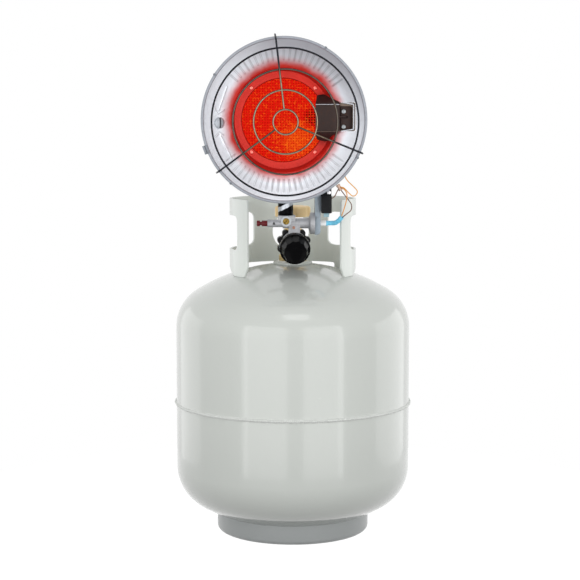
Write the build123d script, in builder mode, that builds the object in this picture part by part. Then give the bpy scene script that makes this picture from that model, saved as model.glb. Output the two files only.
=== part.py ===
"""Tank-top radiant propane heater, standing on its refillable 20 lb cylinder.

Millimetres, +Z up. The origin is the centre of the foot ring on the floor, and the
heater faces -Y. Everything from the tank valve's outlet to the heat knob lies along -Y.
"""

import os
from math import atan2, cos, degrees, radians, sin, sqrt, tan

from build123d import *

os.makedirs("parts", exist_ok=True)

# ---------------------------------------------------------------- driving dimensions
# Cylinder shells
tank_radius = 155.0
tank_wall = 2.6
knuckle_radius = 56.5
top_crown_radius = 244.5
bottom_crown_radius = 254.8
crown_z = 357.57
bottom_low_z = 4.3
seam_z = 172.6
joggle_depth = 9.0
weld_width = 4.8
weld_height = 2.2

# Foot ring
foot_radius = 101.0
foot_wall = 3.0
foot_lip_width = 11.0
foot_corner = 6.0

# Collar
collar_radius = 83.65
collar_wall = 2.8
collar_top_z = 443.5
collar_hem_z = 353.0
front_opening_width = 121.8
front_foot_cut = 4.2
front_foot_rise = 13.0
window_low_z = 377.0
window_high_z = 422.0
window_front_y = -39.3
window_rear_y = 65.9
window_corner = 9.0
rear_hole_radius = 25.6
rear_hole_z = 394.0
side_arch_front_y = -31.0
side_arch_rear_y = 42.0
side_arch_slope = 24.0

# Tank valve
boss_radius = 22.5
boss_rise = 3.4
boss_depth = 16.0
shank_radius = 13.0
valve_hex_across = 32.0
valve_hex_height = 8.0
valve_body_radius = 13.5
valve_shoulder_z = 401.0
stem_boss_radius = 11.5
stem_boss_height = 5.0
outlet_z = 385.0
outlet_thread_radius = 16.5
outlet_thread_start = 20.0
outlet_length = 38.0
outlet_bore_radius = 8.0
thread_pitch = 4.0
thread_depth = 1.1
running_clearance = 0.05
free_clearance = 0.3
edge_break = 1.0
stem_radius = 4.0
packing_nut_across = 19.0
packing_nut_height = 10.0
wheel_radius = 23.5
wheel_low_z = 419.0
wheel_height = 14.0
wheel_lobes = 6
wheel_first_scallop = 30.0
relief_port_radius = 9.0
relief_port_length = 22.0
relief_length = 12.0
bleed_port_radius = 5.0
bleed_port_length = 19.0
bleed_screw_radius = 3.6
bleed_screw_length = 6.0
bleed_z = 377.0
dip_tube_radius = 1.8
dip_tube_length = 95.0
dip_tube_x = 11.0

# Overfill float, hanging from the valve inside the tank
stop_housing_radius = 7.5
stop_housing_length = 20.0
float_pivot_y = 15.0
float_pivot_drop = 12.0
float_pin_radius = 1.5
float_arm_length = 58.0
float_arm_width = 5.0
float_bracket_wall = 1.5
float_radius = 13.0
float_width = 38.0
float_hang_angle = 62.0

# Connector nut and inlet nipple
nut_depth = 20.0
nut_core_radius = 19.0
nut_lobe_radius = 4.6
nut_lobe_count = 10
nut_first_lobe = 18.0
nut_end_wall = 3.7
nipple_radius = 8.0
nipple_shoulder_radius = 13.0
nipple_shoulder = 2.6
nipple_nose_radius = 6.2
nipple_nose_length = 15.0
o_ring_section = 2.6

# Regulator and heat knob, tilted down at the front
knob_tilt = 9.5
regulator_y = -60.0
regulator_radius = 16.5
regulator_disc = 10.0
diaphragm_thickness = 0.8
bonnet_flange = 5.0
bonnet_neck_radius = 9.0
bonnet_neck_length = 13.0
spring_bore_radius = 6.6
spring_wire = 1.1
spring_turns = 5
screw_radius = 3.0
knob_back = 10.0
knob_depth = 28.0
knob_skirt_radius = 19.8
knob_skirt_depth = 11.0
knob_face_radius = 13.6
knob_grip_count = 14
knob_grip_radius = 2.2
knob_wall = 4.0

# Safety shut-off valve: a cylinder across the top of the regulator
safety_y = -54.0
safety_z = 413.4
neck_width = 14.8
neck_depth = 13.0
guide_radius = 4.95
guide_left_x = -34.7
guide_right_x = -15.0
barrel_radius = 6.6
barrel_right_x = 18.0
flange_radius = 13.9
flange_bevel = 1.5
flange_left_x = 20.5
flange_right_x = 26.3
guide_pocket_radius = 4.05
guide_pocket_depth = 11.0
button_radius = 3.75
button_length = 13.8
button_seat = 2.2
button_waist_radius = 2.3
button_spring_wire = 0.6
button_travel = 5.0
safety_stem_radius = 1.5
chamber_radius = 5.0
chamber_left_x = 2.0
seat_radius = 4.2
seat_thickness = 1.6
magnet_left_x = 12.0
magnet_nut_across = 11.0
magnet_nut_length = 5.8

# Outlet block, boss plug and orifice under the mixer tube
mixer_x = -10.9
mixer_y = -44.0
block_width = 21.9
block_depth = 28.0
block_height = 7.0
block_top_z = 423.3
plug_boss_radius = 6.7
plug_boss_z = 416.6
plug_boss_length = 12.5
plug_radius = 4.2
plug_length = 3.0
plug_proud = 0.5
plug_slot_angle = 40.0
neck_screw_radius = 1.9
neck_screw_x = -0.9
neck_screw_z = 408.2
orifice_across = 7.0
orifice_height = 9.0
orifice_bore = 0.8

# Mixer tube
bell_radius = 9.8
bell_height = 21.0
bell_band = 8.0
air_window_height = 9.0
air_window_width = 8.5
mixer_radius = 8.0
mixer_wall = 1.0
mixer_bend = 13.0

# Burner head and reflector dish, on one axis along Y
dish_x = -15.0
dish_z = 546.0
cup_back_y = -57.0
cup_radius = 53.0
cup_wall = 1.0
cup_corner = 6.0
seat_y = -78.0
emitter_radius = 53.3
emitter_thickness = 0.8
emitter_crown = 2.5
clamp_width = 8.0
dish_wall = 0.9
recess_radius = 63.0
recess_edge_radius = 65.8
recess_edge_y = -95.0
rim_radius = 103.7
rim_bead_radius = 1.9
rim_y = -118.1
dish_bow = 1.4
rivet_circle = 57.4
rivet_radius = 1.8
rivet_head = 0.9
rivet_count = 4
port_x = -80.2
port_z = -3.6
port_radius = 7.2
port_slit = 2.0

# Wire guard
guard_shift_x = 1.0
guard_shift_z = -2.3
guard_wire = 2.4
guard_radii = (15.3, 39.3, 64.8, 91.2)
guard_slope = 0.2
spoke_angles = (96.5, 216.5, 338.0)
hook_depth = 7.0
hook_over = 1.6
clip_angles = (147.0, 60.0, 229.6, 333.0)
clip_wall = 0.8
clip_width = 2.6
tab_angle = 200.6
tab_length = 11.0
tab_reach = 2.6

# Thermocouple, its shield and the pocket that holds both
pocket_left_x = 55.4
pocket_right_x = 74.6
pocket_low_z = 532.2
pocket_high_z = 568.0
pocket_floor_y = -98.6
pocket_wall = 1.0
shield_y = -103.2
shield_wall = 0.8
shield_left_x = 24.6
shield_right_x = 54.6
shield_low_z = 531.8
shield_high_z = 565.4
shield_wing_angle = 45.0
shield_wing_height = 18.2
shield_tab_left_x = 56.8
shield_tab_right_x = 70.9
shield_tab_low_z = 533.4
shield_tab_high_z = 563.4
shield_screw_x = 60.3
shield_screw_z = 547.1
shield_screw_spread = 19.2
shield_screw_radius = 2.9
probe_radius = 1.5
probe_tip_x = 33.0
probe_x = 64.5
probe_bend = 3.5
probe_back_y = -90.0

# Bracket that carries the burner head and the tip-over switch
bracket_wall = 1.5
bracket_depth = 18.0
bracket_low_z = 399.0
bracket_top_z = 506.0
bracket_flange_width = 7.3
bracket_flange_top_z = 476.0
bracket_tab_left_x = 4.0
bracket_tab_low_z = 501.0
bracket_tab_high_z = 531.0
bracket_screw_z = 523.0
bracket_screw_inset = 8.0
bracket_screw_spread = 12.0
bracket_screw_head = 3.4
bracket_screw_radius = 1.9
lug_low_z = 430.0
lug_high_z = 458.0

# Tip-over switch
switch_left_x = 33.9
switch_right_x = 47.2
switch_low_z = 427.4
switch_high_z = 459.4
switch_depth = 13.0
switch_bevel = 0.8
switch_ear_z = 449.0
switch_ear_depth = 4.0
switch_screw_x = 44.0
switch_screw_z = 453.6
switch_screw_radius = 2.6
terminal_width = 2.4
terminal_length = 5.0
terminal_pitch = 4.6

# Thermocouple lead: connector, sleeve, crimp and wires
connector_radius = 3.65
connector_length = 7.5
sleeve_radius = 3.0
crimp_radius = 2.9
crimp_length = 8.4
wire_diameter = 1.3

# ------------------------------------------------------------------- derived values
bottom_crown_centre_z = bottom_low_z + bottom_crown_radius
bottom_tangent_z = bottom_crown_centre_z - sqrt(
    (bottom_crown_radius - knuckle_radius) ** 2 - (tank_radius - knuckle_radius) ** 2
)
top_crown_centre_z = crown_z - top_crown_radius
top_tangent_z = top_crown_centre_z + sqrt(
    (top_crown_radius - knuckle_radius) ** 2 - (tank_radius - knuckle_radius) ** 2
)
collar_foot_z = top_crown_centre_z + sqrt(top_crown_radius**2 - collar_radius**2)
boss_top_z = crown_z + boss_rise
hex_top_z = boss_top_z + valve_hex_height
shank_low_z = boss_top_z - boss_depth - valve_hex_height
float_pivot_z = shank_low_z - float_pivot_drop
outlet_end_y = -outlet_length
nut_end_y = outlet_end_y - free_clearance - nipple_shoulder - free_clearance - nut_end_wall
tilt = radians(knob_tilt)
safety_x_plane = Plane(origin=(0, safety_y, safety_z), x_dir=(0, 1, 0), z_dir=(1, 0, 0))
outlet_plane = Plane(origin=(0, 0, outlet_z), x_dir=(1, 0, 0), z_dir=(0, -1, 0))
knob_plane = Plane(
    origin=(0, regulator_y, outlet_z), x_dir=(1, 0, 0), z_dir=(0, -cos(tilt), -sin(tilt))
)
dish_plane = Plane(origin=(dish_x, 0, dish_z), x_dir=(1, 0, 0), z_dir=(0, -1, 0))
dish_section = Plane(origin=(dish_x, 0, dish_z))
dish_axis = Axis((dish_x, 0, dish_z), (0, 1, 0))


def write(part, name):
    """Label a finished piece and write its STEP file."""
    part.label = name
    export_step(part, f"parts/{name}.step")


def head_outline(direction, inset, base_z):
    """Half outline of a torispherical head, from base_z to the crown on the axis.

    direction is 1 for the top head and -1 for the bottom one; inset is how far the
    line lies inside the outer surface.
    """
    crown = top_crown_radius if direction > 0 else bottom_crown_radius
    centre_z = top_crown_centre_z if direction > 0 else bottom_crown_centre_z
    tangent_z = top_tangent_z if direction > 0 else bottom_tangent_z
    knuckle_x = tank_radius - knuckle_radius
    angle = degrees(atan2(abs(tangent_z - centre_z), knuckle_x))
    outer = tank_radius - inset
    apex_z = centre_z + direction * (crown - inset)
    Polyline((0, apex_z), (0, base_z), (outer, base_z), (outer, tangent_z))
    CenterArc((knuckle_x, tangent_z), knuckle_radius - inset, 0, direction * angle)
    CenterArc((0, centre_z), crown - inset, direction * angle, direction * (90 - angle))


def bent_rod(points, bends, radius):
    """A round rod along straight runs joined by tangent arcs of the given radii."""
    with BuildPart() as rod:
        with BuildLine() as path:
            FilletPolyline(*points, radius=bends)
        with BuildSketch(Plane(origin=path.line @ 0, z_dir=path.line % 0)):
            Circle(radius)
        sweep()
    return rod.part


def cord_bends(points):
    """Bend radii of a cord: 0.45 of the shorter run over the tangent of half the turn."""
    route = [Vector(*point) for point in points]
    bends = []
    for before, corner, after in zip(route, route[1:], route[2:]):
        turn = radians((corner - before).get_angle(after - corner))
        shorter = min((corner - before).length, (after - corner).length)
        bends.append(0.45 * shorter / tan(turn / 2))
    return bends


# ------------------------------------------------------------------ cylinder shells
with BuildPart() as top_head_form:
    with BuildSketch(Plane.XZ):
        with BuildLine():
            head_outline(1, 0, seam_z)
        make_face()
    revolve(axis=Axis.Z)

with BuildPart() as bottom_head_form:
    with BuildSketch(Plane.XZ):
        with BuildLine():
            head_outline(-1, 0, seam_z)
        make_face()
    revolve(axis=Axis.Z)

with BuildPart() as tank_upper_shell:
    add(top_head_form.part)
    with BuildSketch(Plane.XZ):
        with BuildLine():
            head_outline(1, tank_wall, seam_z)
        make_face()
    revolve(axis=Axis.Z, mode=Mode.SUBTRACT)
    with BuildSketch(Plane.XY.offset(boss_top_z)):
        Circle(boss_radius)
    extrude(amount=-boss_depth - boss_rise, mode=Mode.SUBTRACT)
write(tank_upper_shell.part, "tank_upper_shell")

with BuildPart() as tank_lower_shell:
    add(bottom_head_form.part)
    with BuildSketch(Plane.XZ):
        with BuildLine():
            head_outline(-1, tank_wall, seam_z)
        make_face()
    revolve(axis=Axis.Z, mode=Mode.SUBTRACT)
    # The rim is set in, so that it plugs into the upper shell behind the seam.
    with BuildSketch(Plane.XY.offset(seam_z - joggle_depth)):
        Circle(tank_radius - tank_wall)
        Circle(tank_radius - 2 * tank_wall, mode=Mode.SUBTRACT)
    extrude(amount=2 * joggle_depth)
write(tank_lower_shell.part, "tank_lower_shell")

with BuildPart() as seam_weld:
    with BuildSketch(Plane.XZ):
        with BuildLine():
            ThreePointArc(
                (tank_radius, seam_z - weld_width / 2),
                (tank_radius + weld_height, seam_z),
                (tank_radius, seam_z + weld_width / 2),
            )
            Line((tank_radius, seam_z + weld_width / 2), (tank_radius, seam_z - weld_width / 2))
        make_face()
    revolve(axis=Axis.Z)
write(seam_weld.part, "seam_weld")

with BuildPart() as foot_ring:
    foot_inner = foot_radius - foot_wall
    foot_lip_inner = foot_radius - foot_lip_width
    with BuildSketch(Plane.XZ) as foot_profile:
        with BuildLine():
            Polyline(
                (foot_lip_inner, 0),
                (foot_radius, 0),
                (foot_radius, bottom_tangent_z),
                (foot_inner, bottom_tangent_z),
                (foot_inner, foot_wall),
                (foot_lip_inner, foot_wall),
                close=True,
            )
        make_face()
        fillet(foot_profile.vertices().group_by(Axis.Y)[0].sort_by(Axis.X)[-1], foot_corner)
    revolve(axis=Axis.Z)
    add(bottom_head_form.part, mode=Mode.SUBTRACT)
write(foot_ring.part, "foot_ring")

# ------------------------------------------------------------------------- collar
with BuildPart() as collar:
    with BuildSketch(Plane.XY.offset(top_tangent_z)):
        Circle(collar_radius)
        Circle(collar_radius - collar_wall, mode=Mode.SUBTRACT)
    extrude(amount=collar_top_z - top_tangent_z)
    add(top_head_form.part, mode=Mode.SUBTRACT)
    # Front opening, which widens at the feet
    front_foot_x = front_opening_width / 2 + front_foot_cut
    with BuildSketch(Plane.XZ):
        with Locations((0, collar_top_z)):
            Rectangle(
                front_opening_width, 2 * (collar_top_z - top_tangent_z), align=Align.CENTER
            )
        with BuildLine():
            Polyline(
                (-front_opening_width / 2, collar_foot_z + front_foot_rise),
                (-front_foot_x, collar_foot_z),
                (-front_foot_x, top_tangent_z),
                (front_foot_x, top_tangent_z),
                (front_foot_x, collar_foot_z),
                (front_opening_width / 2, collar_foot_z + front_foot_rise),
                close=True,
            )
        make_face()
    extrude(amount=collar_radius + collar_wall, mode=Mode.SUBTRACT)
    # Hand-holds, one on each side
    with BuildSketch(Plane.YZ):
        with Locations(((window_front_y + window_rear_y) / 2, (window_low_z + window_high_z) / 2)):
            RectangleRounded(
                window_rear_y - window_front_y, window_high_z - window_low_z, window_corner
            )
    extrude(amount=collar_radius + collar_wall, both=True, mode=Mode.SUBTRACT)
    # Gaps under the hem, which leave four tapered feet on the crown
    with BuildSketch(Plane.YZ):
        with BuildLine():
            Polyline(
                (side_arch_front_y, top_tangent_z),
                (side_arch_front_y, collar_foot_z),
                (side_arch_front_y + side_arch_slope, collar_hem_z),
                (side_arch_rear_y - side_arch_slope, collar_hem_z),
                (side_arch_rear_y, collar_foot_z),
                (side_arch_rear_y, top_tangent_z),
                close=True,
            )
        make_face()
    extrude(amount=collar_radius + collar_wall, both=True, mode=Mode.SUBTRACT)
    with BuildSketch(Plane.XZ):
        with Locations((0, collar_hem_z)):
            Rectangle(
                front_opening_width,
                collar_hem_z - top_tangent_z,
                align=(Align.CENTER, Align.MAX),
            )
    extrude(amount=-collar_radius - collar_wall, mode=Mode.SUBTRACT)
    # Round sight hole at the back
    with BuildSketch(Plane.XZ):
        with Locations((0, rear_hole_z)):
            Circle(rear_hole_radius)
    extrude(amount=-collar_radius - collar_wall, mode=Mode.SUBTRACT)
write(collar.part, "collar")

# ---------------------------------------------------------------------- tank valve
with BuildPart() as valve_boss:
    with BuildSketch(Plane.XY.offset(boss_top_z)):
        Circle(boss_radius)
        Circle(shank_radius, mode=Mode.SUBTRACT)
    extrude(amount=-boss_depth)
    # Weld bead between the boss and the crown
    with BuildSketch(Plane.XZ):
        with BuildLine():
            bead_in = (boss_radius, boss_top_z - boss_rise / 4)
            bead_out = (boss_radius + boss_rise, crown_z + boss_rise / 4)
            Polyline(bead_out, (boss_radius + boss_rise, seam_z), (boss_radius, seam_z), bead_in)
            RadiusArc(bead_in, bead_out, boss_rise)
        make_face()
    revolve(axis=Axis.Z)
    add(top_head_form.part, mode=Mode.SUBTRACT)
    with BuildSketch(Plane.XY.offset(boss_top_z)):
        Circle(boss_radius)
        Circle(shank_radius, mode=Mode.SUBTRACT)
    extrude(amount=-boss_depth)
write(valve_boss.part, "valve_boss")

with BuildPart() as valve_body:
    # Shank, hexagon, body and the neck that carries the packing nut
    with BuildSketch(Plane.XY.offset(shank_low_z)):
        Circle(shank_radius)
    extrude(amount=boss_top_z - shank_low_z)
    with BuildSketch(Plane.XY.offset(boss_top_z)):
        RegularPolygon(valve_hex_across / 2, 6, major_radius=False)
    extrude(amount=valve_hex_height)
    chamfer(valve_body.faces().sort_by(Axis.Z)[-1].edges(), edge_break)
    with BuildSketch(Plane.XY.offset(hex_top_z)):
        Circle(valve_body_radius)
    extrude(amount=valve_shoulder_z - hex_top_z)
    with BuildSketch(Plane.XY.offset(valve_shoulder_z)):
        Circle(stem_boss_radius)
    extrude(amount=stem_boss_height)
    # Stop housing of the overfill float, below the shank
    with BuildSketch(Plane.XY.offset(shank_low_z)):
        Circle(stop_housing_radius)
    extrude(amount=-stop_housing_length)
    # Outlet with its coarse outside thread, drawn as parallel ridges
    with BuildSketch(outlet_plane):
        Circle(outlet_thread_radius - thread_depth)
    extrude(amount=outlet_length)
    ridge_count = int((outlet_length - outlet_thread_start) // thread_pitch)
    for ridge in range(ridge_count):
        ridge_start = outlet_thread_start + ridge * thread_pitch + thread_pitch / 4
        with BuildSketch(outlet_plane.offset(ridge_start)):
            Circle(outlet_thread_radius)
            Circle(outlet_bore_radius, mode=Mode.SUBTRACT)
        extrude(amount=thread_pitch / 2)
    # Ports for the relief valve and the bleed screw
    with BuildSketch(Plane(origin=(0, 0, outlet_z), x_dir=(1, 0, 0), z_dir=(0, 1, 0))):
        Circle(relief_port_radius)
    extrude(amount=relief_port_length)
    with BuildSketch(Plane(origin=(0, 0, bleed_z), x_dir=(0, 1, 0), z_dir=(1, 0, 0))):
        Circle(bleed_port_radius)
    extrude(amount=bleed_port_length)
    # Outlet bore, stem bore and the passage down to the tank
    with BuildSketch(outlet_plane.offset(outlet_length)):
        Circle(outlet_bore_radius)
    extrude(amount=-outlet_length, mode=Mode.SUBTRACT)
    with BuildSketch(Plane.XY.offset(valve_shoulder_z + stem_boss_height)):
        Circle(stem_radius + running_clearance)
    extrude(amount=outlet_z - valve_shoulder_z - stem_boss_height, mode=Mode.SUBTRACT)
    with BuildSketch(Plane.XY.offset(outlet_z)):
        Circle(stem_radius)
    extrude(amount=shank_low_z - outlet_z, mode=Mode.SUBTRACT)
    # Threaded socket of the bleed screw, and the seat of its dip tube
    with BuildSketch(
        Plane(origin=(bleed_port_length, 0, bleed_z), x_dir=(0, 1, 0), z_dir=(1, 0, 0))
    ):
        Circle(bleed_screw_radius / 2 + running_clearance)
    extrude(amount=-bleed_screw_length, mode=Mode.SUBTRACT)
    with BuildSketch(Plane.XY.offset(shank_low_z)):
        with Locations((dip_tube_x, 0)):
            Circle(dip_tube_radius)
    extrude(amount=boss_depth / 2, mode=Mode.SUBTRACT)
write(valve_body.part, "valve_body")

with BuildPart() as packing_nut:
    with BuildSketch(Plane.XY.offset(valve_shoulder_z + stem_boss_height)):
        RegularPolygon(packing_nut_across / 2, 6, major_radius=False)
        Circle(stem_radius + running_clearance, mode=Mode.SUBTRACT)
    extrude(amount=packing_nut_height)
write(packing_nut.part, "packing_nut")

wheel_top_z = wheel_low_z + wheel_height
stem_top_z = wheel_top_z - wheel_height / 3
with BuildPart() as valve_stem:
    with BuildSketch(Plane.XY.offset(outlet_z + outlet_bore_radius)):
        Circle(stem_radius)
    extrude(amount=wheel_low_z - outlet_z - outlet_bore_radius)
    with BuildSketch(Plane.XY.offset(wheel_low_z)):
        Rectangle(sqrt(2) * stem_radius, sqrt(2) * stem_radius)
    extrude(amount=stem_top_z - wheel_low_z)
write(valve_stem.part, "valve_stem")

with BuildPart() as valve_handwheel:
    with BuildSketch(Plane.XY.offset(wheel_low_z)):
        Circle(wheel_radius)
        with PolarLocations(
            wheel_radius + wheel_height / 3, wheel_lobes, start_angle=wheel_first_scallop
        ):
            Circle(wheel_height / 2, mode=Mode.SUBTRACT)
    extrude(amount=wheel_height)
    fillet(valve_handwheel.faces().sort_by(Axis.Z)[-1].edges(), wheel_height / 4)
    # Square socket for the stem, a counterbore for its screw and a hollow underside
    with BuildSketch(Plane.XY.offset(wheel_low_z)):
        Rectangle(sqrt(2) * stem_radius, sqrt(2) * stem_radius)
    extrude(amount=wheel_height, mode=Mode.SUBTRACT)
    with BuildSketch(Plane.XY.offset(stem_top_z)):
        Circle(1.6 * stem_radius)
    extrude(amount=wheel_height, mode=Mode.SUBTRACT)
write(valve_handwheel.part, "valve_handwheel")

with BuildPart() as handwheel_screw:
    with BuildSketch(Plane.XY.offset(stem_top_z)):
        Circle(1.5 * stem_radius)
    extrude(amount=wheel_height / 5)
    with BuildSketch(Plane.XY.offset(stem_top_z + wheel_height / 5)):
        Rectangle(2.4 * stem_radius, stem_radius / 3)
        Rectangle(stem_radius / 3, 2.4 * stem_radius)
    extrude(amount=-wheel_height / 12, mode=Mode.SUBTRACT)
write(handwheel_screw.part, "handwheel_screw")

with BuildPart() as relief_valve:
    relief_plane = Plane(
        origin=(0, relief_port_length, outlet_z), x_dir=(1, 0, 0), z_dir=(0, 1, 0)
    )
    with BuildSketch(relief_plane):
        RegularPolygon(relief_port_radius, 6, major_radius=False)
    extrude(amount=relief_length / 2)
    with BuildSketch(relief_plane.offset(relief_length / 2)):
        Circle(relief_port_radius - edge_break)
    extrude(amount=relief_length / 2)
write(relief_valve.part, "relief_valve")

with BuildPart() as bleed_screw:
    bleed_plane = Plane(
        origin=(bleed_port_length + free_clearance, 0, bleed_z), x_dir=(0, 1, 0), z_dir=(1, 0, 0)
    )
    with BuildSketch(bleed_plane):
        Circle(bleed_screw_radius)
    extrude(amount=bleed_screw_length / 2)
    with BuildSketch(bleed_plane):
        Circle(bleed_screw_radius / 2)
    extrude(amount=-bleed_screw_length + free_clearance)
    with BuildSketch(bleed_plane.offset(bleed_screw_length / 2)):
        Rectangle(3 * bleed_screw_radius, bleed_screw_radius / 4)
    extrude(amount=-bleed_screw_length / 5, mode=Mode.SUBTRACT)
write(bleed_screw.part, "bleed_screw")

with BuildPart() as dip_tube:
    with BuildSketch(Plane.XY.offset(shank_low_z + boss_depth / 2)):
        with Locations((dip_tube_x, 0)):
            Circle(dip_tube_radius)
            Circle(dip_tube_radius / 2, mode=Mode.SUBTRACT)
    extrude(amount=-dip_tube_length)
write(dip_tube.part, "dip_tube")

# ---------------------------------------------------------------- overfill float
with BuildPart() as float_bracket:
    with BuildSketch(Plane.XY.offset(shank_low_z)):
        Circle(stop_housing_radius + float_bracket_wall)
        Circle(stop_housing_radius, mode=Mode.SUBTRACT)
    extrude(amount=-stop_housing_length / 2)
    # Two lugs hold the hinge pin
    with BuildSketch(Plane.XY.offset(float_pivot_z - 2 * float_pin_radius)):
        with GridLocations(float_arm_width + float_bracket_wall + 2 * free_clearance, 0, 2, 1):
            with Locations((0, stop_housing_radius)):
                Rectangle(
                    float_bracket_wall,
                    float_pivot_y + 2 * float_pin_radius - stop_housing_radius,
                    align=(Align.CENTER, Align.MIN),
                )
        Circle(stop_housing_radius, mode=Mode.SUBTRACT)
    extrude(amount=shank_low_z - float_pivot_z + 2 * float_pin_radius)
    with BuildSketch(Plane(origin=(0, float_pivot_y, float_pivot_z), z_dir=(1, 0, 0))):
        Circle(float_pin_radius)
    extrude(amount=float_arm_width / 2 + float_bracket_wall + 2 * free_clearance, both=True)
write(float_bracket.part, "float_bracket")

hang = radians(float_hang_angle)
float_plane = Plane(
    origin=(0, float_pivot_y, float_pivot_z), x_dir=(0, cos(hang), -sin(hang)), z_dir=(1, 0, 0)
)
with BuildPart() as overfill_float:
    with BuildSketch(float_plane):
        Circle(2 * float_pin_radius)
        Rectangle(float_arm_length, float_arm_width, align=(Align.MIN, Align.CENTER))
    extrude(amount=float_arm_width / 2, both=True)
    with BuildSketch(float_plane):
        with Locations((float_arm_length, 0)):
            Circle(float_radius)
    extrude(amount=float_width / 2, both=True)
    with BuildSketch(float_plane):
        Circle(float_pin_radius + running_clearance)
    extrude(amount=float_arm_width, both=True, mode=Mode.SUBTRACT)
write(overfill_float.part, "overfill_float")

# ---------------------------------------------------- connector nut and inlet nipple
nut_plane = outlet_plane.offset(-nut_end_y)
with BuildPart() as connector_nut:
    with BuildSketch(nut_plane):
        Circle(nut_core_radius)
        with PolarLocations(
            nut_core_radius - nut_lobe_radius / 4, nut_lobe_count, start_angle=nut_first_lobe
        ):
            Circle(nut_lobe_radius)
    extrude(amount=-nut_depth)
    fillet(connector_nut.edges().group_by(Axis.Y)[0], nut_lobe_radius / 4)
    with BuildSketch(nut_plane.offset(-nut_depth)):
        Circle(outlet_thread_radius + free_clearance)
    extrude(amount=nut_depth - nut_end_wall, mode=Mode.SUBTRACT)
    with BuildSketch(nut_plane):
        Circle(nipple_radius + running_clearance)
    extrude(amount=-nut_depth, mode=Mode.SUBTRACT)
write(connector_nut.part, "connector_nut")

shoulder_plane = outlet_plane.offset(outlet_length + free_clearance)
with BuildPart() as inlet_nipple:
    with BuildSketch(shoulder_plane):
        Circle(nipple_shoulder_radius)
    extrude(amount=nipple_shoulder)
    with BuildSketch(shoulder_plane):
        Circle(nipple_radius)
    extrude(amount=-regulator_y - regulator_disc / 2 - outlet_length - free_clearance)
    with BuildSketch(shoulder_plane):
        Circle(nipple_nose_radius)
    extrude(amount=-nipple_nose_length)
    # Groove of the sealing ring
    with BuildSketch(shoulder_plane.offset(-nipple_nose_length / 2)):
        Circle(nipple_nose_radius)
        Circle(outlet_bore_radius - o_ring_section, mode=Mode.SUBTRACT)
    extrude(amount=-o_ring_section, mode=Mode.SUBTRACT)
    with BuildSketch(shoulder_plane.offset(-nipple_nose_length)):
        Circle(nipple_nose_radius / 3)
    extrude(amount=nipple_nose_length + nipple_shoulder + regulator_disc, mode=Mode.SUBTRACT)
write(inlet_nipple.part, "inlet_nipple")

with BuildPart() as nipple_o_ring:
    with BuildSketch(shoulder_plane.offset(-nipple_nose_length / 2)):
        Circle(outlet_bore_radius)
        Circle(outlet_bore_radius - o_ring_section, mode=Mode.SUBTRACT)
    extrude(amount=-o_ring_section)
write(nipple_o_ring.part, "nipple_o_ring")

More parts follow.
